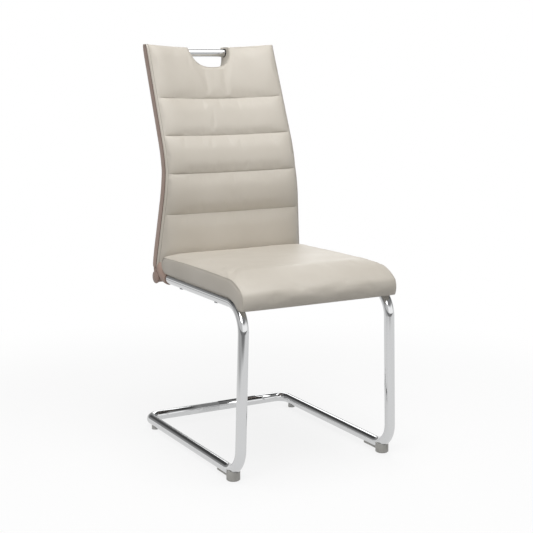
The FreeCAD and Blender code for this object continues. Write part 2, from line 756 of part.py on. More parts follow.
def front_edges(row, inset):
    height, share, fullness = row
    return front_line(height, share, fullness if inset == 0 else min(fullness, pinch), inset)


def rear_edges(row, inset):
    height, share, fullness = row
    return rear_line(height, share, inset)


def grip_room(grow):
    """The hand hole: half an ellipse below the top edge, cut square to the back."""
    top = back_top - size("top_dip")
    centre = Vector(0, post_line(top) + size("back_hollow"), top)
    wide = size("grip_half_width") + grow
    deep = size("grip_depth") + grow
    above = 60
    lower = Part.ArcOfEllipse(Part.Ellipse(Vector(), wide, deep), math.pi, 2 * math.pi).toShape()
    corners = [Vector(wide, 0, 0), Vector(wide, above, 0), Vector(-wide, above, 0),
               Vector(-wide, 0, 0)]
    sides = [Part.LineSegment(a, b).toShape() for a, b in zip(corners, corners[1:])]
    block = Part.Face(Part.Wire([lower] + sides)).extrude(Vector(0, 0, 200))
    lean = math.degrees(math.atan(upper_lean))
    block.Placement = Placement(centre, Rotation(Vector(1, 0, 0), 90 - lean)).multiply(
        Placement(Vector(0, 0, -100), Rotation()))
    return block


def largest(shape):
    return max(shape.Solids, key=lambda solid: solid.Volume)


def without(shape, tools):
    for tool in tools:
        shape = shape.cut(tool)
    return shape


# Leather sleeves round the rear bends of the rails
CUFF_STEPS = 4
cuff_bore = tube_radius + 1
cuff_radius = tube_radius + size("cuff_thickness")


def cuff_points(side):
    post, lumbar_point = frame_points(side)[4:6]
    start = (post[0], size("cuff_start"), rail_line)
    return [start, post, line_point(post, lumbar_point, rail_line + size("rear_bend") * 1.25)]


def cuff_bar(side, radius):
    route = stepped_path(cuff_points(side), [size("rear_bend")], CUFF_STEPS)
    return round_bar(route, radius, MITRED_BENDS)


CUFF_ROOM = [cuff_bar(side, cuff_radius + fit_gap) for name, side in SIDES]

# Handle tube: bowed back between the post tops, bare in the hand hole
bow = size("handle_bow")
kink = size("handle_straight") / 2
post_reach = post_x(head_height)


def handle_bar(radius, bends=ROUND_BENDS):
    points = [(-post_reach, post_line(head_height), head_height),
              (-kink, post_line(head_height) + bow, head_height),
              (kink, post_line(head_height) + bow, head_height),
              (post_reach, post_line(head_height), head_height)]
    radii = [size("handle_bend")] * 2
    if bends == MITRED_BENDS:
        return round_bar(stepped_path(points, radii, 2), radius, bends)
    return round_bar(bent_path(points, radii), radius)


handle = handle_bar(bar_radius).cut(handle_bar(bar_radius - size("bar_wall"), MITRED_BENDS))
handle = without(handle, FRAME_SOLID.values())
shape_part("handle_tube", largest(handle))
collar_radius = bar_radius + size("collar_wall")
for name, side in SIDES:
    inner = side * (size("grip_half_width") - 4.5)
    ring = Part.makeCylinder(collar_radius, size("collar_length"),
                             Vector(inner, post_line(head_height) + bow, head_height),
                             Vector(side, 0, 0))
    shape_part(f"handle_collar_{name}", ring.cut(handle_bar(bar_radius + 0.05)))

# Lower cross tube behind the rear bends, wrapped in the cover's hem and capped at both ends
roll_reach = size("rear_bend") + 2 * tube_radius + 0.2
post_lean = math.atan(-lower_lean)
rear_bend_y = size("post_depth") - size("rear_bend") * math.tan((math.pi / 2 + post_lean) / 2)
roll_turn = math.radians(size("roll_angle"))
roll_y = rear_bend_y + roll_reach * math.cos(roll_turn)
roll_z = rail_line + size("rear_bend") - roll_reach * math.sin(roll_turn)
roll_half = half_rail + size("roll_overhang")
roll_cover_radius = tube_radius + size("roll_cover")


def roll_bar(radius, half_length):
    return Part.makeCylinder(radius, 2 * half_length, Vector(-half_length, roll_y, roll_z),
                             Vector(1, 0, 0))


shape_part("back_lower_tube", roll_bar(tube_radius, roll_half).cut(
    roll_bar(bore_radius, roll_half)))
hem_roll = roll_bar(roll_cover_radius, roll_half).cut(roll_bar(tube_radius + 0.1, roll_half))
shape_part("back_roll_cover", largest(without(hem_roll, CUFF_ROOM)))
for name, side in SIDES:
    disc = Part.makeCylinder(roll_cover_radius, size("cap_thickness"),
                             Vector(side * roll_half, roll_y, roll_z), Vector(side, 0, 0))
    plug = Part.makeCylinder(bore_radius - 0.1, 12,
                             Vector(side * (roll_half - 12), roll_y, roll_z), Vector(side, 0, 0))
    shape_part(f"back_roll_cap_{name}", disc.fuse(plug).removeSplitter())
    sleeve = cuff_bar(side, cuff_radius).cut(cuff_bar(side, cuff_bore))
    sleeve = sleeve.cut(roll_bar(tube_radius + 0.1, roll_half + cuff_radius))
    sleeve = sleeve.cut(Part.makeCylinder(roll_cover_radius + 0.1, cuff_radius,
                                          Vector(side * roll_half, roll_y, roll_z),
                                          Vector(side, 0, 0)))
    shape_part(f"rail_cuff_{name}", largest(sleeve))

# Covers of the back: a quilted front, a plain rear, and a strip along the top edge
lining_room = grip_room(size("lining_thickness") + 0.1)
front_cover = skin_form(BACK_ROWS, front_edges)
shape_part("back_cover_front", largest(without(front_cover, [lining_room] + CUFF_ROOM)))

rear_cover = skin_form(SMOOTH_ROWS, rear_edges)
foot_front = front_edges(BACK_ROWS[0], 0.0)
foot_rear = rear_edges(BACK_ROWS[0], 0.0)
joins = [line(before[-1].lastVertex(True).Point, after[0].firstVertex(True).Point)
         for before, after in ((foot_front, foot_rear), (foot_rear, foot_front))]
foot_ring = Part.Wire(foot_front + joins[:1] + foot_rear + joins[1:])
foot_plate = Part.Face(foot_ring).extrude(Vector(0, 0, -skin))
rear_cover = rear_cover.fuse(foot_plate)
shape_part("back_cover_rear", largest(without(rear_cover, [lining_room] + CUFF_ROOM)))


def sub_arc(edge, low, high):
    """Part of an arc between two shares of its length."""
    first, span = edge.FirstParameter, edge.LastParameter - edge.FirstParameter
    stops = (low, (low + high) / 2, high)
    return arc(*(edge.valueAt(first + span * share) for share in stops))


def slab_ring(front, rear):
    """Eight edges: the three middle front edges, a flat side, the rear arc in three, a side."""
    across = rear.firstVertex(True).Point.x - rear.lastVertex(True).Point.x
    roll = SIDE_ROLL / across
    thirds = [sub_arc(rear, low, high) for low, high in ((0, roll), (roll, 1 - roll), (1 - roll, 1))]
    right = line(front[2].lastVertex(True).Point, thirds[0].firstVertex(True).Point)
    left = line(thirds[2].lastVertex(True).Point, front[0].firstVertex(True).Point)
    return front + [right] + thirds + [left]


SLAB_CAPS = ((0, 6), (1, 5), (2, 4))


def outer_slab_ring(height, share, fullness):
    return slab_ring(front_line(height, share, fullness, 0)[1:4], rear_line(height, share, 0)[1])


top_share, top_fullness = BACK_ROWS[-1][1:]
top_rings = [outer_slab_ring(height, top_share, top_fullness)
             for height in (strip_bottom + strip_gap, back_top)]
top_strip = closed_form(top_rings, SLAB_CAPS)

# Leather lining of the hand hole, trimmed to the faces of the back
top_rows = [row for row in BACK_ROWS if row[0] > seams[-1]] + [(back_top, top_share, top_fullness)]
top_block = closed_form([outer_slab_ring(*row) for row in top_rows], SLAB_CAPS)
collar_room = [Part.makeCylinder(collar_radius + 0.1, 20,
                                 Vector(side * (size("grip_half_width") - 13),
                                        post_line(head_height) + bow, head_height),
                                 Vector(side, 0, 0)) for name, side in SIDES]
lining = top_block.common(grip_room(size("lining_thickness"))).cut(grip_room(0))
shape_part("hand_hole_lining", largest(without(lining, collar_room)))

# Moulded plywood behind the posts
ply_front = tube_radius + 0.4
ply_rear = ply_front + size("panel_thickness") / math.cos(math.atan(upper_lean))
ply_low = back_foot + size("panel_rise")
ply_high = head_height - bar_radius - 5
bend_rows = [row[0] for row in SMOOTH_ROWS[3:8]]


def ply_ring(height):
    edge = post_x(height) + size("panel_margin")
    across = [share * edge for share in (-1, -0.5, 0, 0.5, 1)]
    front = [hollowed(x, ply_front, height, edge) for x in across]
    rear = [hollowed(x, ply_rear, height, edge) for x in reversed(across)]
    return [arc(*front[:3]), arc(*front[2:]), line(front[4], rear[0]),
            arc(*rear[:3]), arc(*rear[2:]), line(rear[4], front[0])]


panel = closed_form([ply_ring(height) for height in [ply_low] + bend_rows + [ply_high]],
                    ((0, 4), (1, 3)))
panel = panel.cut(grip_room(size("lining_thickness") + 1))


def back_screw(side, height, grow):
    """A countersunk screw from behind, through the plywood into the post."""
    lean = math.atan(lower_lean if height < lumbar[2] else upper_lean)
    inward = Vector(0, -math.cos(lean), math.sin(lean))
    edge = post_x(height) + size("panel_margin")
    on_face = hollowed(side * post_x(height), ply_rear, height, edge)
    start = Vector(*on_face) + inward * 0.4
    head = Part.makeCone(size("back_screw_head") / 2 + grow, size("back_screw_diameter") / 2 + grow,
                         2.4, start, inward)
    shank = Part.makeCylinder(size("back_screw_diameter") / 2 + grow,
                              size("panel_thickness") + 2 * size("tube_wall"), start, inward)
    recess = Part.makeCylinder(size("back_screw_head") / 2 + grow, 1.5, start - inward * 1.5, inward)
    return head.fuse(shank).removeSplitter(), recess


screw_heights = [rail_line + size(name) for name in ("screw_one", "screw_two", "screw_three")]
screws = [back_screw(side, height, 0)[0] for name, side in SIDES for height in screw_heights]
screw_rooms = {name: [] for name, side in SIDES}
for name, side in SIDES:
    for height in screw_heights:
        screw_rooms[name] += back_screw(side, height, 0.1)
    panel = without(panel, screw_rooms[name])
shape_part("back_panel", largest(panel))
shape_part("back_panel_screws", Part.makeCompound(screws))

# The finished frame tubes, drilled for the seat bolts, the plywood's screws and the feet
for name, side in SIDES:
    tube = FRAME_SOLID[name].cut(frame_bore(side))
    foot_x = side * size("base_width") / 2
    for x, y in bolt_spots:
        if x * side > 0:
            tube = tube.cut(upright_pin(x, y, bolt_hole_radius,
                                        rail_line - 2 * tube_radius, rail_line + 2 * tube_radius))
    tube = without(tube, screw_rooms[name])
    tube = tube.cut(upright_pin(foot_x, size("screw_depth"), size("screw_diameter") / 2 + 0.05,
                                0, floor_line))
    tube = tube.cut(upright_pin(foot_x, size("rear_glide_depth"), size("peg_diameter") / 2 + 0.1,
                                0, floor_line))
    shape_part(f"frame_tube_{name}", tube)


# Foam between the quilted cover and the plywood, grooved for the posts and the handle tube
foam_inset = skin + 2 * fit_gap + 0.2
FOAM_ROWS = [(height, share, 0 if index == 0 else pinch, ply_front - 0.5, 3.6)
             for index, (height, share, fullness) in enumerate(SMOOTH_ROWS[:-3])]
FOAM_ROWS[0] = (back_foot + 0.3,) + FOAM_ROWS[0][1:3] + (0.6 * half_thick, 6)
FOAM_ROWS += [
    (ply_high + 1, 1.0, pinch, ply_front - 0.5, 3.6),
    (ply_high + 3, 1.0, pinch, half_thick - foam_inset, 9),
    (back_top - 14, 0.86, pinch, 0.86 * half_thick - foam_inset, 9),
    (strip_bottom - 2.5, 0.58, pinch, 0.58 * half_thick - foam_inset, 9),
]


def foam_ring(height, share, fullness, rear_offset, side_inset):
    corner = widest_line(height) - side_inset
    along_panel = rear_offset < ply_front
    reach = post_x(height) + size("panel_margin") if along_panel else corner
    rear = [hollowed(x, rear_offset, height, reach) for x in (corner, 0, -corner)]
    return slab_ring(front_line(height, share, fullness, foam_inset)[1:4], arc(*rear))


def post_groove(side):
    """A square groove, open to the rear, that follows a post."""
    half = tube_radius + 0.9
    wires = []
    for height in [back_foot - 20] + bend_rows + [post_top[2] + 5]:
        x = side * post_x(height)
        y = post_line(height)
        corners = [Vector(x - half, y - half - 1.2, height), Vector(x + half, y - half - 1.2, height),
                   Vector(x + half, y + 3 * half, height), Vector(x - half, y + 3 * half, height)]
        wires.append(Part.makePolygon(corners + corners[:1]))
    return Part.makeLoft(wires, True, True)


foam = closed_form([foam_ring(*row) for row in FOAM_ROWS], SLAB_CAPS)
foam_cuts = [post_groove(side) for name, side in SIDES] + CUFF_ROOM + collar_room
foam_cuts += [handle_bar(bar_radius + 1, MITRED_BENDS), grip_room(size("lining_thickness") + fit_gap)]
shape_part("back_foam", largest(without(foam, foam_cuts)))
shape_part("back_top_strip", Part.makeCompound(top_strip.cut(
    grip_room(size("lining_thickness") + 0.1)).Solids))


# Feet: a cup under each front bend with a tail screwed to the runner, and a pad at each rear end
glide_x = "dims.base_width / 2"


def front_glide(name, side):
    label = f"glide_front_{name}"
    cup = cylinder(f"{label}_cup", "dims.glide_diameter / 2", "dims.glide_height",
                   f"{side} * {glide_x}", "dims.glide_depth")
    doc.recompute()
    rounded = doc.addObject("Part::Chamfer", f"{label}_round")
    rounded.Base = cup
    bottom = [index for index, edge in enumerate(cup.Shape.Edges, start=1)
              if edge.BoundBox.ZMax < 0.01 and len(edge.Vertexes) == 1]
    rounded.Edges = [(index, size("glide_bevel"), size("glide_bevel")) for index in bottom]
    tail = doc.addObject("Part::Box", f"{label}_tail")
    tail.setExpression("Length", "dims.tail_width")
    tail.setExpression("Width", "dims.tail_length")
    tail.setExpression("Height", "dims.tail_thickness + dims.tube_diameter / 8")
    tail.setExpression("Placement.Base.x", f"{side} * {glide_x} - dims.tail_width / 2")
    tail.setExpression("Placement.Base.y", "dims.glide_depth")
    tail.setExpression("Placement.Base.z", "dims.floor_gap - dims.tail_thickness")
    blank = fuse(f"{label}_blank", [rounded, tail])
    room = hidden_shape(f"{label}_room", frame_bar(side, tube_radius + 0.1))
    hole = cylinder(f"{label}_hole", "dims.screw_diameter / 2 + 0.1", "dims.floor_gap * 2",
                    f"{side} * {glide_x}", "dims.screw_depth")
    place(cut(label, blank, fuse(f"{label}_cuts", [room, hole])), label)
    screw = fuse(f"glide_screw_{name}", [
        cylinder(f"{label}_shank", "dims.screw_diameter / 2",
                 "dims.floor_gap + dims.tube_wall * 2 - dims.fit_gap - 0.5",
                 f"{side} * {glide_x}", "dims.screw_depth",
                 "dims.floor_gap - dims.tail_thickness - dims.screw_head_height"),
        cylinder(f"{label}_head", "dims.screw_head / 2", "dims.screw_head_height",
                 f"{side} * {glide_x}", "dims.screw_depth",
                 "dims.floor_gap - dims.tail_thickness - dims.screw_head_height"),
    ])
    place(screw, f"glide_screw_{name}")


def rear_glide(name, side):
    label = f"glide_rear_{name}"
    foot = cylinder(f"{label}_pad", "dims.rear_glide_diameter / 2",
                    "dims.floor_gap + dims.tube_diameter / 8",
                    f"{side} * {glide_x}", "dims.rear_glide_depth")
    room = hidden_shape(f"{label}_room", frame_bar(side, tube_radius + 0.1))
    saddle = cut(f"{label}_saddle", foot, room)
    peg = cylinder(f"{label}_peg", "dims.peg_diameter / 2", "dims.floor_gap + dims.tube_wall + 2",
                   f"{side} * {glide_x}", "dims.rear_glide_depth")
    place(fuse(label, [saddle, peg]), label)


for name, side in SIDES:
    front_glide(name, side)
    rear_glide(name, side)

doc.recompute()

# Check every object, then write one file for each sub-part
for item in doc.Objects:
    if "Invalid" in item.State or "Error" in item.State:
        raise RuntimeError(f"{item.Name} did not build: {item.State}")
for part in PARTS:
    if part.Shape.isNull() or not part.Shape.isValid():
        raise RuntimeError(f"{part.Label} has no valid shape")
    if any(solid.Volume <= 0 for solid in part.Shape.Solids):
        raise RuntimeError(f"{part.Label} has a solid that is inside out")
os.makedirs("parts", exist_ok=True)
for part in PARTS:
    part.Shape.exportStep(f"parts/{part.Label}.step")
    print(part.Label, len(part.Shape.Solids), round(part.Shape.Volume / 1000, 2), "cm3")
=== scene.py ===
import math

import bmesh
import bpy
from mathutils import Matrix, Vector


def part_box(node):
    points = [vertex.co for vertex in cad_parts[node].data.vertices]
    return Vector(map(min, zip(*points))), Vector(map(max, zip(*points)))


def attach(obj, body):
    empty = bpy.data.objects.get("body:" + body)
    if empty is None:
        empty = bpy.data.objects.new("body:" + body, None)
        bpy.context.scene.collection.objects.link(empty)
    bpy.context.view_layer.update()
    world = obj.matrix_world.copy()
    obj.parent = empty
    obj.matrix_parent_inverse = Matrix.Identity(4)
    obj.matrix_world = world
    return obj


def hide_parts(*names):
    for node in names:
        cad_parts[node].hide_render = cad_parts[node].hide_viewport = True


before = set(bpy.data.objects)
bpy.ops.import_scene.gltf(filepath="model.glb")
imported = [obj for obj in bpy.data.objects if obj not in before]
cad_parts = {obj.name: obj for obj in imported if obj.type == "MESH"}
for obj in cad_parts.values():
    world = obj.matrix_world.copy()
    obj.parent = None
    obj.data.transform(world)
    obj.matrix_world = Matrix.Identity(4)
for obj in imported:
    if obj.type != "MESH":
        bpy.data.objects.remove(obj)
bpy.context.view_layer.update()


# Frame: two mirrored lengths of 25 mm steel tube, bent cold on a mandrel and then
# chromium plated. Each starts at the middle of the floor bar, where a hidden spigot and
# a ground weld join it to the other, and ends in the head of the back.
TUBE_RADIUS = 0.0125
TUBE_WALL = 0.002
FRAME_CORNERS = (
    (0.0, 0.236, 0.020),
    (0.206, 0.236, 0.020),
    (0.206, -0.284, 0.020),
    (0.195, -0.284, 0.410),
    (0.195, 0.174, 0.410),
    (0.169, 0.1476, 0.674),
    (0.166, 0.2656, 0.9665),
)
POST_FOOT, LUMBAR, POST_HEAD = FRAME_CORNERS[4:]
HEAD_OVERRUN = 0.009
FRAME_BENDS = (0.030, 0.060, 0.062, 0.055, 0.320)
TUBE_SIDES = 48
ARC_STEP = 0.07
SIDES = (("left", -1), ("right", 1))


def of_kind(geometry, kind):
    return [part for part in geometry if isinstance(part, kind)]


def push_ring(bm, edges, move):
    """Draws a ring of edges out along a straight run and returns the ring at its end."""
    drawn = bmesh.ops.extrude_edge_only(bm, edges=edges)["geom"]
    bmesh.ops.translate(bm, verts=of_kind(drawn, bmesh.types.BMVert), vec=move)
    return of_kind(drawn, bmesh.types.BMEdge)


def facing(place, heading):
    """The matrix of a ring or rod at a place whose axis lies along a heading."""
    return Matrix.Translation(place) @ heading.to_track_quat("Z", "Y").to_matrix().to_4x4()


def bent_tube(corners, bends, radius):
    """A round tube skin: a circle drawn along each straight and spun round each bend."""
    corners = [Vector(corner) for corner in corners]
    bm = bmesh.new()
    bmesh.ops.create_circle(bm, segments=TUBE_SIDES, radius=radius,
                            matrix=facing(corners[0], corners[1] - corners[0]))
    ring = bm.edges[:]
    here = corners[0]
    for corner, after, bend in zip(corners[1:], corners[2:], bends):
        into = (corner - here).normalized()
        out = (after - corner).normalized()
        turn = into.angle(out)
        reach = bend * math.tan(turn / 2)
        start = corner - into * reach
        ring = push_ring(bm, ring, start - here)
        axis = into.cross(out).normalized()
        spun = bmesh.ops.spin(bm, geom=ring, cent=start + axis.cross(into) * bend, axis=axis,
                              angle=turn, steps=max(4, round(turn / ARC_STEP)))
        ring = of_kind(spun["geom_last"], bmesh.types.BMEdge)
        here = corner + out * reach
    push_ring(bm, ring, corners[-1] - here)
    return bm


def give_wall(bm, thickness):
    """Turns an open skin into a closed wall that grows inwards."""
    bmesh.ops.remove_doubles(bm, verts=bm.verts, dist=1e-6)
    bmesh.ops.recalc_face_normals(bm, faces=bm.faces)
    bmesh.ops.solidify(bm, geom=bm.faces[:], thickness=thickness)


def place_object(name, data):
    piece = bpy.data.objects.new(name, data)
    bpy.context.scene.collection.objects.link(piece)
    return piece


def add_piece(name, bm, material, stands_for=()):
    """Makes the mesh an object of its own that rides on the chair."""
    mesh = bpy.data.meshes.new(name)
    bm.to_mesh(mesh)
    bm.free()
    mesh.materials.append(material)
    mesh.shade_smooth()
    piece = place_object(name, mesh)
    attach(piece, "root")
    if stands_for:
        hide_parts(*stands_for)
    return piece


def add_node(material, kind, **values):
    """One node, with its sockets set by name and its options by attribute."""
    node = material.node_tree.nodes.new(kind)
    for key, value in values.items():
        if key in node.inputs:
            node.inputs[key].default_value = value
        else:
            setattr(node, key, value)
    return node


def link(material, source, target):
    material.node_tree.links.new(source, target)


def shader_of(material):
    return material.node_tree.nodes["Principled BSDF"]


def object_place(material):
    return add_node(material, "ShaderNodeTexCoord").outputs["Object"]


def noise_pattern(material, scale, detail=3.0, stretch=None):
    """A noise on the object's own coordinates, stretched along an axis where asked."""
    noise = add_node(material, "ShaderNodeTexNoise", Scale=scale, Detail=detail)
    place = object_place(material)
    if stretch is not None:
        mapping = add_node(material, "ShaderNodeMapping", Scale=stretch)
        link(material, place, mapping.inputs["Vector"])
        place = mapping.outputs["Vector"]
    link(material, place, noise.inputs["Vector"])
    return noise.outputs["Fac"]


def add_bump(material, pattern, height, strength, under=None):
    """Raises the surface by a pattern; a finer bump is stacked on a coarser one."""
    bump = add_node(material, "ShaderNodeBump", Strength=strength, Distance=height)
    link(material, pattern, bump.inputs["Height"])
    if under is not None:
        link(material, under.outputs["Normal"], bump.inputs["Normal"])
    link(material, bump.outputs["Normal"], shader_of(material).inputs["Normal"])
    return bump


def new_material(name, colour, metallic=0.0, roughness=0.5, grain=None):
    """A principled material of one plain colour. A grain is a fine, even bump, given by
    its scale, height and strength."""
    material = bpy.data.materials.new(name)
    material.use_nodes = True
    shader = shader_of(material)
    shader.inputs["Base Color"].default_value = (*colour, 1)
    shader.inputs["Metallic"].default_value = metallic
    shader.inputs["Roughness"].default_value = roughness
    if grain is not None:
        scale, height, strength = grain
        add_bump(material, noise_pattern(material, scale), height, strength)
    return material


def ramp_value(material, value, start, end, low, high, curve="SMOOTHSTEP"):
    """A value that runs from low to high while another runs from start to end."""
    node = add_node(material, "ShaderNodeMapRange", interpolation_type=curve,
                    **{"From Min": start, "From Max": end, "To Min": low, "To Max": high})
    link(material, value, node.inputs["Value"])
    return node.outputs["Result"]


NOISE_SPAN = (0.3, 0.7)


def vary_roughness(material, scale, low, high):
    """Uneven gloss: handling marks on plating, rubbed and fresh places on leather. Nearly
    all of a noise lies in its span."""
    gloss = ramp_value(material, noise_pattern(material, scale, 4.0), *NOISE_SPAN, low, high,
                       "LINEAR")
    link(material, gloss, shader_of(material).inputs["Roughness"])


CHROME_COLOUR = (0.68, 0.685, 0.69)
chrome = new_material("chrome_plate", CHROME_COLOUR, metallic=1.0, roughness=0.07)
vary_roughness(chrome, 9.0, 0.05, 0.11)


def mirrored(points, side):
    return [(side * x, y, z) for x, y, z in points]


head = Vector(POST_HEAD)
tube_end = head + (head - Vector(LUMBAR)).normalized() * HEAD_OVERRUN
for name, side in SIDES:
    skin = bent_tube(mirrored((*FRAME_CORNERS[:-1], tube_end), side), FRAME_BENDS,
                     TUBE_RADIUS)
    give_wall(skin, TUBE_WALL)
    add_piece(f"chrome_frame_{name}", skin, chrome, [f"frame_tube_{name}"])


# Floor joint and seat cross tubes: short lengths of welded steel tube that hold the two
# halves of the frame together, coped to fit against it and powder coated where they are
# out of sight under the seat.
def finish_nodes(material, *names):
    """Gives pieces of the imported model, whose shape is already right, their own finish."""
    for name in names:
        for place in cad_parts[name].material_slots:
            place.material = material


def vary_colour(material, pattern, stops):
    """Colours the surface along a ramp of (place, colour) stops read from a pattern."""
    ramp = add_node(material, "ShaderNodeValToRGB")
    elements = ramp.color_ramp.elements
    while len(elements) < len(stops):
        elements.new(0.5)
    for element, (place, colour) in zip(elements, stops):
        element.position = place
        element.color = (*colour, 1)
    link(material, pattern, ramp.inputs["Fac"])
    link(material, ramp.outputs["Color"], shader_of(material).inputs["Base Color"])


powder_coat = new_material("black_powder_coat", (0.03, 0.03, 0.032), roughness=0.45,
                           grain=(900.0, 0.00008, 0.3))
finish_nodes(powder_coat, "seat_cross_bar_front", "seat_cross_bar_rear", "back_lower_tube")
finish_nodes(chrome, "floor_joint_spigot")


# Glides: grey injection-moulded plastic cups under the front bends, each with a screwed
# tail along its runner, and plain pads on pegs under the rear ends of the runners.
glide_plastic = new_material("glide_plastic", (0.50, 0.49, 0.46), roughness=0.42,
                             grain=(1400.0, 0.00005, 0.25))
vary_colour(glide_plastic, noise_pattern(glide_plastic, 30.0),
            ((0.35, (0.46, 0.45, 0.42)), (0.65, (0.54, 0.53, 0.50))))
finish_nodes(glide_plastic, "glide_front_left", "glide_front_right")

zinc = new_material("zinc_plate", (0.42, 0.42, 0.44), metallic=1.0, roughness=0.3)
vary_roughness(zinc, 300.0, 0.22, 0.4)
finish_nodes(zinc, "glide_screw_left", "glide_screw_right", "tee_nuts", "back_panel_screws")


def reshaped_node(name, source, material, move):
    """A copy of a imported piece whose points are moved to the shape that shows."""
    bm = bmesh.new()
    bm.from_mesh(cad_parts[source].data)
    bmesh.ops.remove_doubles(bm, verts=bm.verts, dist=1e-5)
    for vert in bm.verts:
        vert.co = move(vert.co.copy())
    piece = add_piece(name, bm, material, [source])
    piece.data.shade_flat()
    return piece


REAR_PAD_SHARE = 0.75


def rear_pad_point(co):
    """The pads under the rear ends are narrower than the cups in front."""
    low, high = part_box("glide_rear_left" if co.x < 0 else "glide_rear_right")
    return Vector((*((low + high) / 2).lerp(co, REAR_PAD_SHARE).xy, co.z))


pad_plastic = new_material("pale_pad_plastic", (0.62, 0.62, 0.60), roughness=0.4,
                           grain=(1200.0, 0.00005, 0.25))
for name, side in SIDES:
    reshaped_node(f"rear_pad_{name}", f"glide_rear_{name}", pad_plastic,
                  rear_pad_point)


# Seat board and back panel: beech plywood, the board flat and held on the rails by bolts
# from below, the back moulded in a press and screwed to the posts from behind.
RAIL_UNDERSIDE = FRAME_CORNERS[3][2] - TUBE_RADIUS
LOW_HEAD_SHARE = 0.2


def low_head_point(co):
    """The seat's bolts have low button heads on thin washers."""
    if co.z < RAIL_UNDERSIDE:
        co.z = RAIL_UNDERSIDE + (co.z - RAIL_UNDERSIDE) * LOW_HEAD_SHARE
    return co


for name, source in (("seat_bolt_set", "seat_bolts"),
                     ("seat_washer_set", "seat_saddle_washers")):
    reshaped_node(name, source, zinc, low_head_point)

plywood = new_material("beech_plywood", (0.55, 0.38, 0.22), roughness=0.6)
ply_grain = noise_pattern(plywood, 22.0, 6.0, stretch=(1.0, 9.0, 9.0))
vary_colour(plywood, ply_grain, ((0.3, (0.42, 0.27, 0.14)), (0.5, (0.56, 0.38, 0.22)),
                                 (0.7, (0.66, 0.48, 0.29))))
add_bump(plywood, ply_grain, 0.0002, 0.3)
finish_nodes(plywood, "seat_board")


# Seat: a foam pad on the board under a cover of light greige faux leather, rolled over
# the front edge, sewn to a side panel along each side and stapled under the board.
SEAT_HALF = 0.2058
SEAT_UNDERSIDE = 0.4228
SEAT_LIP = 0.4015
SEAT_SIDE_TOP = 0.464
SEAT_CROWN = 0.014
SEAT_FRONT = -0.296
SEAT_REAR = 0.136
SEAT_EDGE_FULLNESS = 0.1
SEAT_SQUARENESS = 6
SEAT_ROUNDNESS = 0.459
FRONT_BULGE = 0.0125
FRONT_BEND_CENTRE = (-0.222, 0.348)
FRONT_BEND_ROOM = 0.0748
UNDER_BEND_TURN = math.radians(115)
SEAT_HEM = 0.032
LEATHER_WALL = 0.0012
SEAT_COLUMNS = 84
SEAT_CROWDING = 1.5


def seat_fullness(share):
    """How crowned the seat is at a share of its half width: 1 in the middle."""
    crown = max(0.0, 1 - abs(share) ** SEAT_SQUARENESS) ** SEAT_ROUNDNESS
    return SEAT_EDGE_FULLNESS + (1 - SEAT_EDGE_FULLNESS) * crown


def seat_profile(fullness):
    """Side view of the cover from the front bend over the top to its hem under the rear:
    runs of (points along one arc, how many rows it takes)."""
    front = SEAT_FRONT - FRONT_BULGE * fullness
    top = SEAT_SIDE_TOP + SEAT_CROWN * fullness
    rear_top = SEAT_SIDE_TOP - 0.002 + 0.008 * fullness
    centre_y, centre_z = FRONT_BEND_CENTRE
    drop = SEAT_LIP - centre_z
    lip_back = (centre_y - math.sqrt(FRONT_BEND_ROOM ** 2 - drop ** 2), SEAT_LIP)
    under_bend = (centre_y + FRONT_BEND_ROOM * math.cos(UNDER_BEND_TURN),
                  centre_z + FRONT_BEND_ROOM * math.sin(UNDER_BEND_TURN))
    lip_front = (front + 0.003 + 0.006 * fullness, SEAT_LIP)
    brow = (front + 0.005 - 0.0015 * fullness, SEAT_LIP + 0.036 + 0.003 * fullness)
    over_brow = (-0.2645 - 0.011 * fullness, SEAT_LIP + 0.0535 + 0.007 * fullness)
    shoulder = (-0.222 + 0.027 * fullness, top - 0.0005 * (1 - fullness))
    middle_top = (-0.074, top + 0.0015 * (1 - fullness) - 0.0008 * fullness)
    rear_shoulder = (SEAT_REAR - 0.025, rear_top)
    rear = (SEAT_REAR, rear_top - 0.020)
    heel = (SEAT_REAR - 0.030, SEAT_UNDERSIDE)
    return (
        (((centre_y, SEAT_UNDERSIDE), under_bend, lip_back), 6),
        ((lip_back, None, lip_front), 4),
        ((lip_front, (front, SEAT_LIP + 0.017), brow), 8),
        ((brow, over_brow, shoulder), 16),
        ((shoulder, middle_top, rear_shoulder), 44),
        ((rear_shoulder, (SEAT_REAR - 0.006, rear_top - 0.007), rear), 8),
        ((rear, (SEAT_REAR - 0.0115, SEAT_UNDERSIDE + 0.0041), heel), 6),
        ((heel, None, (heel[0] - SEAT_HEM, SEAT_UNDERSIDE)), 4),
    )


def along_arc(start, through, end, share):
    """A point part of the way along the arc through three points, or along a line."""
    a, c = Vector(start), Vector(end)
    if through is None:
        return a.lerp(c, share)
    b = Vector(through)
    ab, ac = b - a, c - a
    area = 2 * (ab.x * ac.y - ab.y * ac.x)
    offset = Vector((ac.y * ab.length_squared - ab.y * ac.length_squared,
                     ab.x * ac.length_squared - ac.x * ab.length_squared)) / area
    centre = a + offset
    first, last = a - centre, c - centre
    turn = math.atan2(first.x * last.y - first.y * last.x, first.dot(last))
    middle = b - centre
    side = math.atan2(first.x * middle.y - first.y * middle.x, first.dot(middle))
    if turn * side < 0:
        turn -= math.copysign(2 * math.pi, turn)
    return centre + Matrix.Rotation(turn * share, 2) @ first


def profile_point(fullness, row):
    """The point of the seat's side view at a row of the cover's grid."""
    for arc, rows in seat_profile(fullness):
        if row <= rows:
            return along_arc(*arc, row / rows)
        row -= rows
    raise ValueError("the row lies past the end of the cover")


ROWS_OF_RUNS = [rows for arc, rows in seat_profile(1.0)]
SEAT_ROWS = sum(ROWS_OF_RUNS)
LIP_ROWS = sum(ROWS_OF_RUNS[:2])
HEM_ROWS = ROWS_OF_RUNS[-1]


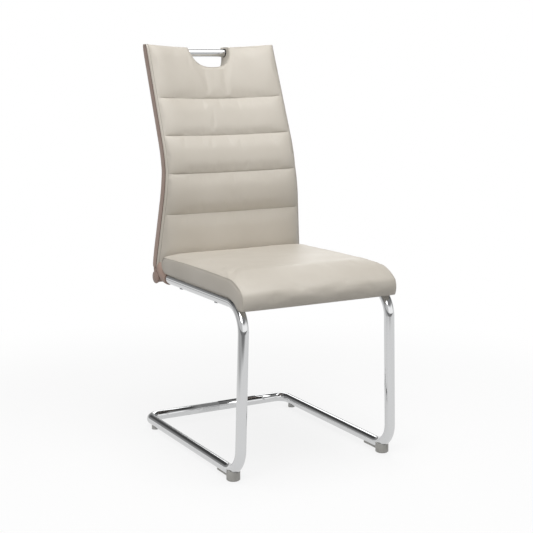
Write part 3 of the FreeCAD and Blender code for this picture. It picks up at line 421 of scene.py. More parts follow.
def mapped_grid(columns, rows, place, held=None):
    """A grid whose vertices are placed by their column and row. Where held says so, a
    vertex is sewn down and keeps its place while the cloth settles."""
    bm = bmesh.new()
    bmesh.ops.create_grid(bm, x_segments=columns, y_segments=rows, size=1)
    sewn = bm.verts.layers.int.new("sewn")
    for vert in bm.verts:
        column = round((vert.co.x + 1) / 2 * columns)
        row = round((vert.co.y + 1) / 2 * rows)
        vert[sewn] = int(held is not None and held(column, row))
        vert.co = place(column, row)
    return bm


def seat_point(column, row):
    """A point of the cover, whose columns stand closer together towards both sides."""
    even = 2 * column / SEAT_COLUMNS - 1
    share = math.copysign(1 - (1 - abs(even)) ** SEAT_CROWDING, even)
    y, z = profile_point(seat_fullness(share), row)
    return Vector((share * SEAT_HALF, y, z))


CLOTH_FRAMES = 20
CLOTH_STRETCH = 30
CLOTH_BENDING = 0.8
CLOTH_QUALITY = 6
STILL = 1e-9


def settle_cloth(bm, pressure, cap, spare):
    """Lets a sewn cover settle over its foam: held at its seams, a little larger than its
    pattern, and pushed out from inside. No point may move further than the cap."""
    sewn = bm.verts.layers.int["sewn"]
    held = [index for index, vert in enumerate(bm.verts) if vert[sewn] or vert.is_boundary]
    bm.verts.layers.int.remove(sewn)
    mesh = bpy.data.meshes.new("settling")
    bm.to_mesh(mesh)
    cover = place_object("settling", mesh)
    cover.vertex_groups.new(name="seams").add(held, 1.0, "REPLACE")
    cloth = cover.modifiers.new("settle", "CLOTH")
    settings = cloth.settings
    settings.vertex_group_mass = "seams"
    settings.use_pressure = True
    settings.uniform_pressure_force = pressure
    settings.effector_weights.gravity = 0
    settings.tension_stiffness = CLOTH_STRETCH
    settings.compression_stiffness = CLOTH_STRETCH
    settings.bending_stiffness = CLOTH_BENDING
    settings.shrink_min = -spare
    settings.quality = CLOTH_QUALITY
    cloth.collision_settings.use_collision = False
    for number in range(1, CLOTH_FRAMES + 1):
        bpy.context.scene.frame_set(number)
    moved = cover.evaluated_get(bpy.context.evaluated_depsgraph_get()).data
    for vert, settled in zip(bm.verts, moved.vertices):
        step = settled.co - vert.co
        vert.co += step * min(1.0, cap / max(step.length, STILL))
    bpy.context.scene.frame_set(1)
    bpy.data.objects.remove(cover)
    bpy.data.meshes.remove(mesh)


def add_leather_grain(material):
    """Fine pebbled grain over the slow unevenness of foam under the cover."""
    slow = add_bump(material, noise_pattern(material, 14.0), 0.0012, 0.25)
    cells = add_node(material, "ShaderNodeTexVoronoi", Scale=850.0)
    link(material, object_place(material), cells.inputs["Vector"])
    add_bump(material, cells.outputs["Distance"], 0.0001, 0.35, under=slow)


light_leather = new_material("light_faux_leather", (0.60, 0.55, 0.48))
vary_colour(light_leather, noise_pattern(light_leather, 7.0, 4.0),
            ((0.3, (0.575, 0.53, 0.46)), (0.7, (0.625, 0.58, 0.51))))
vary_roughness(light_leather, 20.0, 0.40, 0.52)
add_leather_grain(light_leather)


def held_seat(column, row):
    """Sewn to the side panels, and stapled under the board at both ends."""
    under_board = row <= LIP_ROWS or row >= SEAT_ROWS - HEM_ROWS - 1
    return column in (0, SEAT_COLUMNS) or under_board


seat_top = mapped_grid(SEAT_COLUMNS, SEAT_ROWS, seat_point, held_seat)
settle_cloth(seat_top, pressure=1.0, cap=0.002, spare=0.003)
give_wall(seat_top, LEATHER_WALL)
seat_cover = add_piece("seat_cushion", seat_top, light_leather,
                       ["seat_cover", "seat_foam"])

SIDE_PANEL_CROWN = 0.0022
SIDE_PANEL_PINCH = 0.0012
SIDE_PANEL_COLUMNS = 72
SIDE_PANEL_ROWS = 16
SIDE_PANEL_ENDS = 12


def side_outline():
    """The side panel's lower and upper edge, both from the front corner to the heel."""
    outline = [Vector(profile_point(SEAT_EDGE_FULLNESS, row))
               for row in range(SEAT_ROWS - HEM_ROWS + 1)]
    return outline[LIP_ROWS::-1] + [outline[-1]], outline[LIP_ROWS:]


def along_line(points, share):
    """The point at a share of a run of points' whole length."""
    lengths = [(b - a).length for a, b in zip(points, points[1:])]
    left = share * sum(lengths)
    for a, b, length in zip(points, points[1:], lengths):
        if left <= length:
            return a.lerp(b, left / length)
        left -= length
    return points[-1]


def side_panel_point(side, column, row):
    """Ruled between the two edges, gently crowned, and pinched in along its seam."""
    lower, upper = side_outline()
    share = column / SIDE_PANEL_COLUMNS
    across = row / SIDE_PANEL_ROWS
    point = along_line(lower, share).lerp(along_line(upper, share), across)
    rounding = (min(1.0, SIDE_PANEL_ENDS * share * (1 - share))
                * math.sqrt(4 * across * (1 - across)))
    out = SIDE_PANEL_CROWN * rounding - SIDE_PANEL_PINCH * (1 - rounding)
    return Vector((side * (SEAT_HALF + out), point.x, point.y))


for name, side in SIDES:
    panel = mapped_grid(SIDE_PANEL_COLUMNS, SIDE_PANEL_ROWS,
                        lambda column, row: side_panel_point(side, column, row))
    give_wall(panel, LEATHER_WALL)
    panel_piece = add_piece(f"seat_side_{name}", panel, light_leather,
                            [f"seat_side_panel_{name}"])

TURNED_HEM = 0.0255
HEM_HALF = 0.2050
HEM_FRONT = -0.2215
HEM_REAR = 0.0735
HEM_GAP = 0.0001
HEM_CORNER_GAP = 0.0005
HEM_CELLS = 6
SIDE_HEM_CELLS = 60
FRONT_HEM_CELLS = 72


def join_part(bm, part):
    """Moves a finished part's mesh into another."""
    mesh = bpy.data.meshes.new("part")
    part.to_mesh(mesh)
    part.free()
    bm.from_mesh(mesh)
    bpy.data.meshes.remove(mesh)


def hem_strip(low, high, columns, rows):
    """One flat strip of the cover that is turned under the board and stapled."""
    def place(column, row):
        return Vector((low[0] + (high[0] - low[0]) * column / columns,
                       low[1] + (high[1] - low[1]) * row / rows, SEAT_UNDERSIDE + HEM_GAP))
    strip = mapped_grid(columns, rows, place)
    give_wall(strip, LEATHER_WALL - HEM_GAP)
    return strip


hems = bmesh.new()
hem_inside = HEM_HALF - TURNED_HEM
for side in (-1, 1):
    ends = sorted((side * hem_inside, side * HEM_HALF))
    join_part(hems, hem_strip((ends[0], HEM_FRONT), (ends[1], HEM_REAR),
                              HEM_CELLS, SIDE_HEM_CELLS))
front_half = hem_inside - HEM_CORNER_GAP
join_part(hems, hem_strip((-front_half, HEM_FRONT), (front_half, HEM_FRONT + TURNED_HEM),
                          FRONT_HEM_CELLS, HEM_CELLS))
add_piece("seat_cover_hems", hems, light_leather)


# Under cloth: thin black non-woven cloth stapled over the seat's underside so that the
# board and the foam stay clean; it sags a little between its staples.
CLOTH_HALF = (0.183, 0.152)
CLOTH_MIDDLE = (-0.059, 0.4224)
CLOTH_SAG = 0.0012
CLOTH_THICKNESS = 0.0006
CLOTH_CELLS = 40

under_cloth = new_material("non_woven_cloth", (0.025, 0.025, 0.027), roughness=0.9,
                           grain=(700.0, 0.0002, 0.5))


def cloth_point(column, row):
    across, back = 2 * column / CLOTH_CELLS - 1, 2 * row / CLOTH_CELLS - 1
    sag = CLOTH_SAG * (1 - across ** 2) * (1 - back ** 2)
    return Vector((across * CLOTH_HALF[0], CLOTH_MIDDLE[0] + back * CLOTH_HALF[1],
                   CLOTH_MIDDLE[1] - sag))


cloth = mapped_grid(CLOTH_CELLS, CLOTH_CELLS, cloth_point)
give_wall(cloth, CLOTH_THICKNESS)
add_piece("under_seat_cloth", cloth, under_cloth, ["seat_under_cloth"])


# Back: foam on both sides of the plywood and posts. In front a cover quilted in five
# panels, its wadding and light faux leather sewn through together; behind and round the
# edges a plain mauve-brown cover. The posts' gentle bend and a hollow shape the whole.
BACK_FOOT = 0.432
BACK_TOP = 0.988
QUILT_TOP = 0.9874
HOLLOW_START = 0.480
BACK_HOLLOW = 0.040
TOP_DIP = 0.008
HALF_THICK = 0.022
SIDE_PADDING = 0.0175
SIDE_ROUND = 0.005
SIDE_ROLL = 0.036
ROLL_SQUARENESS = 2.2
ROLL_ROUNDNESS = 0.6
SIDE_SEAM = -0.012
QUILT_SWELL = 0.0105
SEAM_SWELL = 0.001
SWELL_SQUARENESS = 2.4
SWELL_ROUNDNESS = 0.55
SEAMS = (0.567, 0.669, 0.763, 0.856)
TOP_PANEL_OVERRUN = 0.05
TOP_ROUND = 0.030
FOOT_ROUND = 0.054
END_THICKNESS = 0.72
LUMBAR_BEND = FRAME_BENDS[4]
GUSSET_SHARE = 0.82
GUSSET_CROWN = 0.0008
GUSSET_WIDENING = 0.7
GUSSET_DEEPENING = 1.1
REAR_INSET = 0.001
EDGE_REACH = 0.050
EDGE_TURN = 0.008


def lean_between(low, high):
    return math.atan2(high[1] - low[1], high[2] - low[2])


LOWER_LEAN = lean_between(POST_FOOT, LUMBAR)
UPPER_LEAN = lean_between(LUMBAR, POST_HEAD)


def post_depth(height):
    """Depth of the posts' centre line at a height: straight, one arc, straight."""
    rise = height - LUMBAR[2]
    reach = LUMBAR_BEND * math.tan((UPPER_LEAN - LOWER_LEAN) / 2)
    back, up = math.sin(LOWER_LEAN), math.cos(LOWER_LEAN)
    if rise <= -reach * up:
        return LUMBAR[1] + rise * math.tan(LOWER_LEAN)
    if rise >= reach * math.cos(UPPER_LEAN):
        return LUMBAR[1] + rise * math.tan(UPPER_LEAN)
    centre_y = LUMBAR[1] - reach * back + LUMBAR_BEND * up
    centre_rise = -reach * up - LUMBAR_BEND * back
    return centre_y - math.sqrt(LUMBAR_BEND ** 2 - (rise - centre_rise) ** 2)


def post_side(height):
    """How far the posts' centre lines stand from the middle at a height."""
    low, high = (POST_FOOT, LUMBAR) if height < LUMBAR[2] else (LUMBAR, POST_HEAD)
    share = (height - low[2]) / (high[2] - low[2])
    return low[0] + share * (high[0] - low[0])


def hollowed(x, offset, height, edge):
    """A point on the arc that hollows the back: its middle lies further back and lower."""
    share = max(0.0, (height - HOLLOW_START) / (BACK_TOP - HOLLOW_START))
    drop, depth = TOP_DIP * share, BACK_HOLLOW * share
    sag = math.hypot(depth - post_depth(height) + post_depth(height - drop), drop)
    if sag < 1e-5:
        return Vector((x, post_depth(height) + offset, height))
    radius = (edge ** 2 + sag ** 2) / (2 * sag)
    middle = 1 - (radius - math.sqrt(max(0.0, radius ** 2 - x ** 2))) / sag
    z = height - drop * middle
    return Vector((x, post_depth(z) + depth * middle + offset, z))


def rounded_share(height):
    """How much of its full thickness the back has at a height: less at both ends."""
    if height > QUILT_TOP - TOP_ROUND:
        past = min(1.0, (height - QUILT_TOP + TOP_ROUND) / TOP_ROUND)
    else:
        past = 1 - min(1.0, (height - BACK_FOOT) / FOOT_ROUND)
    return END_THICKNESS + (1 - END_THICKNESS) * math.sqrt(1 - past ** 2)


def quilt_swell(height):
    """How far the quilted face stands out at a height: full between two sewn channels."""
    lines = (BACK_FOOT, *SEAMS, BACK_TOP + TOP_PANEL_OVERRUN)
    low = max(line for line in lines if line <= height)
    high = min(line for line in lines if line > height)
    share = (height - low) / (high - low)
    swell = max(0.0, 1 - abs(2 * share - 1) ** SWELL_SQUARENESS) ** SWELL_ROUNDNESS
    if height > QUILT_TOP - TOP_ROUND:
        swell *= rounded_share(height)
    return SEAM_SWELL + (QUILT_SWELL - SEAM_SWELL) * swell


def half_widths(height):
    """Half width of the back at its side seam, and of its face inside the gusset."""
    widest = post_side(height) + SIDE_PADDING
    return widest, widest - SIDE_ROUND


def front_point(share, height):
    """The quilted face, turned back a little towards its sides, and its narrow gusset,
    from one side seam to the other."""
    widest, edge = half_widths(height)
    front = -rounded_share(height) * HALF_THICK
    if abs(share) <= GUSSET_SHARE:
        x = edge * share / GUSSET_SHARE
        into_roll = max(0.0, (abs(x) - edge + SIDE_ROLL) / SIDE_ROLL)
        fall = max(0.0, 1 - into_roll ** ROLL_SQUARENESS) ** ROLL_ROUNDNESS
        into_edge = max(0.0, (abs(x) - edge + EDGE_REACH) / EDGE_REACH)
        front += EDGE_TURN * (into_edge ** 2 - 0.5)
        return hollowed(x, front - quilt_swell(height) * fall, height, edge)
    front += 0.5 * EDGE_TURN
    across = (abs(share) - GUSSET_SHARE) / (1 - GUSSET_SHARE)
    crown = GUSSET_CROWN * math.sin(math.pi * across)
    x = math.copysign(edge + SIDE_ROUND * across ** GUSSET_WIDENING + crown, share)
    offset = front + (SIDE_SEAM - front) * across ** GUSSET_DEEPENING
    return Vector((x, post_depth(height) + offset, height))


def rear_point(share, height):
    """The plain rear face and its sides, from one side seam to the other."""
    widest, edge = half_widths(height)
    edge -= REAR_INSET
    rear = rounded_share(height) * HALF_THICK
    if abs(share) <= GUSSET_SHARE:
        return hollowed(edge * share / GUSSET_SHARE, rear, height, edge)
    turn = (abs(share) - GUSSET_SHARE) / (1 - GUSSET_SHARE) * math.pi / 2
    x = math.copysign(edge + (widest - edge) * math.sin(turn), share)
    offset = SIDE_SEAM + (rear - SIDE_SEAM) * math.cos(turn)
    return Vector((x, post_depth(height) + offset, height))


# Hand hole: a deep U cut square through the leaning back from its top edge, in the cover
# in front, in the cover behind and, a little wider, in the plywood between them.
GRIP_HALF_WIDTH = 0.061
GRIP_DEPTH = 0.070
GRIP_SQUARENESS = 2.6
GRIP_TOP = BACK_TOP - TOP_DIP
GRIP_CENTRE = Vector((0, post_depth(GRIP_TOP) + BACK_HOLLOW, GRIP_TOP))
BACK_UP = Vector((0, math.sin(UPPER_LEAN), math.cos(UPPER_LEAN)))


def hole_reach(x, rise, wide=GRIP_HALF_WIDTH, deep=GRIP_DEPTH):
    """How far out a place lies as a share of the way to the hole's outline."""
    if rise > 0:
        return abs(x) / wide
    power = GRIP_SQUARENESS
    return (abs(x / wide) ** power + abs(rise / deep) ** power) ** (1 / power)


def cut_hand_hole(bm):
    """Clears the hand hole and draws the cut edge exactly along its outline."""
    inside = set()
    for vert in bm.verts:
        rise = (vert.co - GRIP_CENTRE).dot(BACK_UP)
        if rise > -GRIP_DEPTH and hole_reach(vert.co.x, rise) < 1:
            inside.add(vert)
    gone = [face for face in bm.faces if all(vert in inside for vert in face.verts)]
    bmesh.ops.delete(bm, geom=gone, context="FACES")
    for vert in [vert for vert in bm.verts if vert in inside]:
        x, rise = vert.co.x, (vert.co - GRIP_CENTRE).dot(BACK_UP)
        if rise > 0:
            vert.co.x = math.copysign(GRIP_HALF_WIDTH, x)
        else:
            reach = hole_reach(x, rise)
            vert.co.x = x / reach
            vert.co += BACK_UP * (rise / reach - rise)


PANEL_CLEARANCE = 0.0022


def clear_of_hand_hole(co):
    """Keeps the plywood's own cut-out a little outside the hand hole's outline."""
    rise = (co - GRIP_CENTRE).dot(BACK_UP)
    reach = hole_reach(co.x, rise, GRIP_HALF_WIDTH + PANEL_CLEARANCE,
                       GRIP_DEPTH + PANEL_CLEARANCE)
    if rise < 0 and 0 < reach < 1:
        return Vector((co.x / reach, co.y, co.z)) + BACK_UP * (rise / reach - rise)
    return co


reshaped_node("moulded_back_panel", "back_panel", plywood, clear_of_hand_hole)


# Covers of the back: the quilted front with its gussets, of leather and wadding sewn
# through along the channels, and the plain mauve cover behind, sewn to it at the sides.
PANEL_LINES = (BACK_FOOT, *SEAMS, QUILT_TOP)
PANEL_ROWS = (0.0, 0.01, 0.025, 0.05, 0.09, 0.14, 0.2, 0.27, 0.35, 0.43, 0.5, 0.57, 0.65, 0.73,
              0.8, 0.86, 0.91, 0.95, 0.975, 0.99)
HEIGHTS = [low + share * (high - low) for low, high in zip(PANEL_LINES, PANEL_LINES[1:])
           for share in PANEL_ROWS] + [QUILT_TOP]
FLAT_COLUMNS = 44
FLAT_SHARE = 0.93
SEAM_COLUMNS = (0.95, 0.965, 0.978, 0.988, 0.995, 1.0)
GUSSET_COLUMNS = (0.06, 0.15, 0.3, 0.5, 0.7, 0.85, 0.94, 1.0)


def face_shares():
    """Places across the back, close together at the seam between face and gusset."""
    flat = [FLAT_SHARE * step / FLAT_COLUMNS for step in range(FLAT_COLUMNS + 1)]
    half = [GUSSET_SHARE * place for place in flat + list(SEAM_COLUMNS)]
    half += [GUSSET_SHARE + (1 - GUSSET_SHARE) * place for place in GUSSET_COLUMNS]
    return [-share for share in half[:0:-1]] + half


FACE_SHARES = face_shares()
FACE_COLUMNS = len(FACE_SHARES) - 1
QUILT_WALL = 0.0015


def quilt_point(column, row):
    return front_point(FACE_SHARES[column], HEIGHTS[row])


def held_quilt(column, row):
    """Sewn through to the backing along the channels, and all round its edge."""
    in_channel = row % len(PANEL_ROWS) == 0
    return in_channel or abs(FACE_SHARES[column]) >= GUSSET_SHARE


quilt = mapped_grid(FACE_COLUMNS, len(HEIGHTS) - 1, quilt_point, held_quilt)
cut_hand_hole(quilt)
settle_cloth(quilt, pressure=1.0, cap=0.0016, spare=0.004)
give_wall(quilt, QUILT_WALL)
front_cover = add_piece("quilted_back_front", quilt, light_leather,
                        ["back_cover_front", "back_foam"])

rear_leather = new_material("mauve_faux_leather", (0.44, 0.316, 0.261))
vary_colour(rear_leather, noise_pattern(rear_leather, 7.0, 4.0),
            ((0.3, (0.415, 0.296, 0.243)), (0.7, (0.465, 0.338, 0.281))))
vary_roughness(rear_leather, 20.0, 0.40, 0.55)
add_leather_grain(rear_leather)

REAR_ROWS = 80
FOOT_DROP = 0.0006


def plain_point(column, row):
    height = BACK_FOOT + (QUILT_TOP - BACK_FOOT) * row / REAR_ROWS
    return rear_point(FACE_SHARES[column], height)


def close_foot(bm):
    """Carries the rear cover's lower edge forward under the back as far as the posts."""
    foot = [edge for edge in bm.edges if edge.is_boundary
            and all(abs(vert.co.z - BACK_FOOT) < 1e-4 for vert in edge.verts)]
    drawn = bmesh.ops.extrude_edge_only(bm, edges=foot)["geom"]
    for vert in of_kind(drawn, bmesh.types.BMVert):
        vert.co.y, vert.co.z = post_depth(BACK_FOOT), BACK_FOOT - FOOT_DROP


rear = mapped_grid(FACE_COLUMNS, REAR_ROWS, plain_point)
cut_hand_hole(rear)
close_foot(rear)
give_wall(rear, LEATHER_WALL)
rear_cover = add_piece("plain_back_rear", rear, rear_leather,
                       ["back_cover_rear"])


# Trim of the back: thin welts in the seams on both sides of each gusset, the one at the edge
# of the quilted face coloured darker than its leather as a painted shadow line along that
# seam, and stitches of pale thread along the quilted channels, one short bar for each.
WELT_RADIUS = 0.0010
WELT_SIDES = 8


def swept_welt(bm, points):
    """A thin round cord pushed from point to point, with both ends closed."""
    made = bmesh.ops.create_circle(bm, segments=WELT_SIDES, radius=WELT_RADIUS, cap_ends=True,
                                   matrix=facing(points[0], points[1] - points[0]))
    ring = list({edge for vert in made["verts"] for edge in vert.link_edges})
    beyond = 2 * points[-1] - points[-2]
    for before, here, after in zip(points, points[1:], points[2:] + [beyond]):
        ring = push_ring(bm, ring, here - before)
        turn = (here - before).rotation_difference(after - here).to_matrix()
        verts = list({vert for edge in ring for vert in edge.verts})
        bmesh.ops.rotate(bm, verts=verts, cent=here, matrix=turn)
    bmesh.ops.contextual_create(bm, geom=ring)


def back_welts(name, share, sink, material):
    """A welt up both sides of the back, let into the seam at a share of its face."""
    welts = bmesh.new()
    for side in (-1, 1):
        inwards = Vector((-side * sink, sink, 0))
        swept_welt(welts, [front_point(side * share, height) + inwards
                           for height in HEIGHTS])
    add_piece(name, welts, material)


dark_welt = new_material("dark_mauve_welt", (0.16, 0.11, 0.095), roughness=0.5)
add_leather_grain(dark_welt)
back_welts("back_side_welts", 1.0, -0.0002, dark_welt)
# Painted shade: this welt is darker than the light leather it sits in, to draw the shadow in
# the seam.
seam_shadow_welt = new_material("painted_seam_shadow_welt", (0.40, 0.365, 0.315), roughness=0.5)
add_leather_grain(seam_shadow_welt)
back_welts("back_face_shadow_welts", GUSSET_SHARE, 0.0004, seam_shadow_welt)

STITCH_PITCH = 0.0045
STITCH_LENGTH = 0.0032
STITCH_RADIUS = 0.00035
STITCH_REACH = 0.97
STITCH_LINE_STEPS = 120


def add_stitches(bm, line):
    """Lays stitches end to end along a line, a little above the leather."""
    left = STITCH_PITCH / 2
    for here, after in zip(line, line[1:]):
        span = (after - here).length
        while left < span:
            spot = here.lerp(after, left / span) + Vector((0, -STITCH_RADIUS / 2, 0))
            bmesh.ops.create_cone(bm, cap_ends=True, segments=6, radius1=STITCH_RADIUS,
                                  radius2=STITCH_RADIUS, depth=STITCH_LENGTH,
                                  matrix=facing(spot, after - here))
            left += STITCH_PITCH
        left -= span


thread = new_material("pale_thread", (0.52, 0.48, 0.41), roughness=0.7,
                      grain=(2500.0, 0.00005, 0.5))
stitches = bmesh.new()
for seam in SEAMS:
    add_stitches(stitches, [front_point(share * GUSSET_SHARE * STITCH_REACH, seam)
                            for share in (2 * step / STITCH_LINE_STEPS - 1
                                          for step in range(STITCH_LINE_STEPS + 1))])
add_piece("quilting_stitches", stitches, thread)


# Top edge: a strip of the light leather closes it on both sides of the hand hole, and a
# lining of the same leather is turned into the hand hole all the way round.
STRIP_COLUMNS = 64
STRIP_ROWS = 12
STRIP_CROWN = 0.0012


def strip_point(side, column, row):
    """The strip closes the top edge between the quilted face and the rear cover."""
    first = GRIP_HALF_WIDTH / half_widths(QUILT_TOP)[1] * GUSSET_SHARE
    share = first + (1 - first) * column / STRIP_COLUMNS
    across = row / STRIP_ROWS
    point = front_point(share, QUILT_TOP).lerp(rear_point(share, QUILT_TOP), across)
    point.x *= side
    point.z += STRIP_CROWN * math.sqrt(1 - (2 * across - 1) ** 2)
    return point


strips = bmesh.new()
for side in (-1, 1):
    join_part(strips, mapped_grid(STRIP_COLUMNS, STRIP_ROWS,
                                  lambda column, row: strip_point(side, column, row)))
give_wall(strips, LEATHER_WALL)
add_piece("back_top_strip_cover", strips, light_leather, ["back_top_strip"])

LINING_COLUMNS = 64
LINING_ROWS = 12
LINING_RISE = 0.008
SEARCH_STEPS = 12
SEARCH_SHARE = 0.9


def point_at_rise(x, rise, face_point):
    """The point of a face at a place across and a rise beside the hand hole."""
    height = GRIP_TOP + rise * BACK_UP.z
    for step in range(SEARCH_STEPS):
        share = x / half_widths(height)[1] * GUSSET_SHARE
        reached = (face_point(share, height) - GRIP_CENTRE).dot(BACK_UP)
        height = min(height + (rise - reached) * SEARCH_SHARE, QUILT_TOP)
    return face_point(share, height)


def lining_point(column, row):
    """Round the hand hole's outline and through the thickness of the back."""
    turn = math.pi * column / LINING_COLUMNS
    bulge = 2 / GRIP_SQUARENESS
    x = math.copysign(GRIP_HALF_WIDTH * abs(math.cos(turn)) ** bulge, math.cos(turn))
    rise = LINING_RISE
    if 0 < column < LINING_COLUMNS:
        rise = -GRIP_DEPTH * math.sin(turn) ** bulge
    front = point_at_rise(x, rise, front_point)
    return front.lerp(point_at_rise(x, rise, rear_point), row / LINING_ROWS)


lining = mapped_grid(LINING_COLUMNS, LINING_ROWS, lining_point)
give_wall(lining, LEATHER_WALL)
add_piece("hand_hole_lining_cover", lining, light_leather,
          ["hand_hole_lining"])


# Handle: a 20 mm chromed tube bowed back between the heads of the posts, bare in the
# hand hole, with a black rubber collar where it comes out of the leather on each side.
HANDLE_RADIUS = 0.010
HANDLE_WALL = 0.0015
HANDLE_BOW = 0.033
HANDLE_START = 0.004
HANDLE_KINK = 0.085
HANDLE_BEND = 0.060
HANDLE_HEIGHT = POST_HEAD[2]

handle_back = POST_HEAD[1] + HANDLE_BOW
half_handle = [(POST_HEAD[0] - TUBE_RADIUS, POST_HEAD[1] + HANDLE_START, HANDLE_HEIGHT),
               (HANDLE_KINK, handle_back, HANDLE_HEIGHT)]
handle = bent_tube(mirrored(half_handle, -1) + half_handle[::-1],
                   (HANDLE_BEND, HANDLE_BEND), HANDLE_RADIUS)
give_wall(handle, HANDLE_WALL)
add_piece("chrome_handle", handle, chrome, ["handle_tube"])

collar_rubber = new_material("collar_rubber", (0.02, 0.02, 0.021), roughness=0.4,
                             grain=(1200.0, 0.00004, 0.3))
for name, side in SIDES:
    low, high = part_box(f"handle_collar_{name}")
    shift = Vector((0, handle_back, HANDLE_HEIGHT)) - (low + high) / 2
    shift.x = 0
    reshaped_node(f"rubber_collar_{name}", f"handle_collar_{name}", collar_rubber,
                  lambda co: co + shift)


# Foot of the back: a roll of mauve leather round the lower cross tube, and a padded cuff
# of the same leather over the bend of the frame on each side, where rail becomes post.
ROLL_RADIUS = 0.0145
ROLL_HALF = 0.204
ROLL_WALL = 0.0019
ROLL_CELL = 0.006
RUMPLE_PITCH = 160.0
RUMPLE_HEIGHT = 0.0002
CUFF_RADIUS = 0.0155
CUFF_WALL = 0.0028
CUFF_FRONT = 0.111
CUFF_TOP = 0.479

cap_low, cap_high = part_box("back_roll_cap_left")
ROLL_CENTRE = ((cap_low.y + cap_high.y) / 2, (cap_low.z + cap_high.z) / 2)


def rumple(bm):
    """Moves the points of a soft sleeve in and out by a slow, fixed pattern."""
    for vert in bm.verts:
        x, y, z = vert.co * RUMPLE_PITCH
        wave = 0.5 * (math.sin(x) + math.sin(1.7 * z + 1.0)) + 0.3 * math.sin(3.1 * y)
        vert.co += vert.normal * RUMPLE_HEIGHT * wave


def cut_rows(bm, spacing):
    """Divides a straight sleeve's long edges so that it can wrinkle."""
    long_edges = [edge for edge in bm.edges if edge.calc_length() > 2 * spacing]
    cuts = round(max(edge.calc_length() for edge in long_edges) / spacing)
    bmesh.ops.subdivide_edges(bm, edges=long_edges, cuts=cuts, use_grid_fill=True)


roll = bent_tube([(-ROLL_HALF, *ROLL_CENTRE), (ROLL_HALF, *ROLL_CENTRE)], (), ROLL_RADIUS)
cut_rows(roll, ROLL_CELL)
roll.normal_update()
rumple(roll)
give_wall(roll, ROLL_WALL)
roll_cover = add_piece("foot_roll_cover", roll, rear_leather,
                       ["back_roll_cover"])

cuff_share = (CUFF_TOP - POST_FOOT[2]) / (LUMBAR[2] - POST_FOOT[2])
cuff_line = [(POST_FOOT[0], CUFF_FRONT, POST_FOOT[2]), POST_FOOT,
             Vector(POST_FOOT).lerp(Vector(LUMBAR), cuff_share)]
for name, side in SIDES:
    cuff = bent_tube(mirrored(cuff_line, side), (FRAME_BENDS[3],), CUFF_RADIUS)
    give_wall(cuff, CUFF_WALL)
    cuff_piece = add_piece(f"rail_cuff_cover_{name}", cuff, rear_leather,
                           [f"rail_cuff_{name}"])


# Hem of the back: the mauve cover runs on below the back as a flat loop and wraps the
# roll, whose ends are closed by domed plastic caps with a groove round them. The hem is
# given by its front depth, rear depth and height, at the back's foot and on the roll.
HEM_LOOP_COLUMNS = 136
HEM_LOOP_ROWS = 8
HEM_LOOP_HALF = 0.2054
HEM_END_SQUARENESS = 6
HEM_SIDE_ROUNDNESS = 0.25
foot_middle = post_depth(BACK_FOOT)
HEM_TOP = Vector((foot_middle + SIDE_SEAM + 0.003, foot_middle + 0.70 * HALF_THICK,
                  BACK_FOOT + 0.002))
HEM_BOTTOM = Vector((ROLL_CENTRE[0] - 0.004, ROLL_CENTRE[0] + ROLL_RADIUS - 0.0008,
                     ROLL_CENTRE[1]))


def hem_loop_point(column, row):
    """Once round the hem, a flat loop with rounded ends, and down from back to roll."""
    front, rear, z = HEM_TOP.lerp(HEM_BOTTOM, row / HEM_LOOP_ROWS)
    turn = 2 * math.pi * column / HEM_LOOP_COLUMNS
    across, back = math.cos(turn), math.sin(turn)
    reach = 1 - (1 - abs(across)) ** HEM_END_SQUARENESS
    swing = abs(back) ** HEM_SIDE_ROUNDNESS * (rear - front) / 2
    return Vector((math.copysign(HEM_LOOP_HALF * reach, across),
                   (front + rear) / 2 + math.copysign(swing, back), z))


skirt = mapped_grid(HEM_LOOP_COLUMNS, HEM_LOOP_ROWS, hem_loop_point)
give_wall(skirt, LEATHER_WALL)
skirt_piece = add_piece("back_hem_skirt", skirt, rear_leather)

cap_plastic = new_material("cap_plastic", (0.40, 0.29, 0.245), roughness=0.45,
                           grain=(900.0, 0.00006, 0.3))
CAP_FACE = 0.2055
CAP_DROP = 0.0012
CAP_SIDES = 48
CAP_WALL = 0.0008
CAP_OUTLINE = ((-0.0030, 0.0146), (-0.0004, 0.0160), (0.0018, 0.0163), (0.0038, 0.0150),
               (0.0047, 0.0126), (0.0041, 0.0113), (0.0048, 0.0102), (0.0058, 0.0070),
               (0.0062, 0.0035), (0.0063, 0.0))


def cap_point(side, column, row):
    """A pressed-in end cap: a domed disc with a groove round it."""
    out, radius = CAP_OUTLINE[row]
    turn = 2 * math.pi * column / CAP_SIDES
    return Vector((side * (CAP_FACE + out), ROLL_CENTRE[0] + radius * math.cos(turn),
                   ROLL_CENTRE[1] - CAP_DROP + side * radius * math.sin(turn)))


for name, side in SIDES:
    cap = mapped_grid(CAP_SIDES, len(CAP_OUTLINE) - 1,
                      lambda column, row: cap_point(side, column, row))
    give_wall(cap, CAP_WALL)
    add_piece(f"roll_end_cap_{name}", cap, cap_plastic,
              [f"back_roll_cap_{name}"])


# Studio: a white sweep under three soft boxes, photographed from the front left a little above
# the seat. The chrome shows a painted reflection of a room that is bright in front and low
# down, and dark behind and above: the world and the far floor look so to glossy rays only.
CAMERA_PLACE = (-1.41130, -2.56620, 0.95231)
CAMERA_TURN = -0.508952
CAMERA_TILT = 0.172767
CAMERA_LENS = 80.502

camera = bpy.data.cameras.new("camera")
camera.lens = CAMERA_LENS
camera.sensor_width = 36
camera_piece = place_object("camera", camera)
camera_piece.location = CAMERA_PLACE
camera_piece.rotation_euler = (math.pi / 2 - CAMERA_TILT, 0, CAMERA_TURN)
bpy.context.scene.camera = camera_piece


def add_soft_box(name, place, aim, width, height, power):
    lamp = bpy.data.lights.new(name, "AREA")
    lamp.shape = "RECTANGLE"
    lamp.size, lamp.size_y = width, height
    lamp.energy = power
    box = place_object(name, lamp)
    box.location = place
    box.rotation_euler = (Vector(aim) - Vector(place)).to_track_quat("-Z", "Y").to_euler()


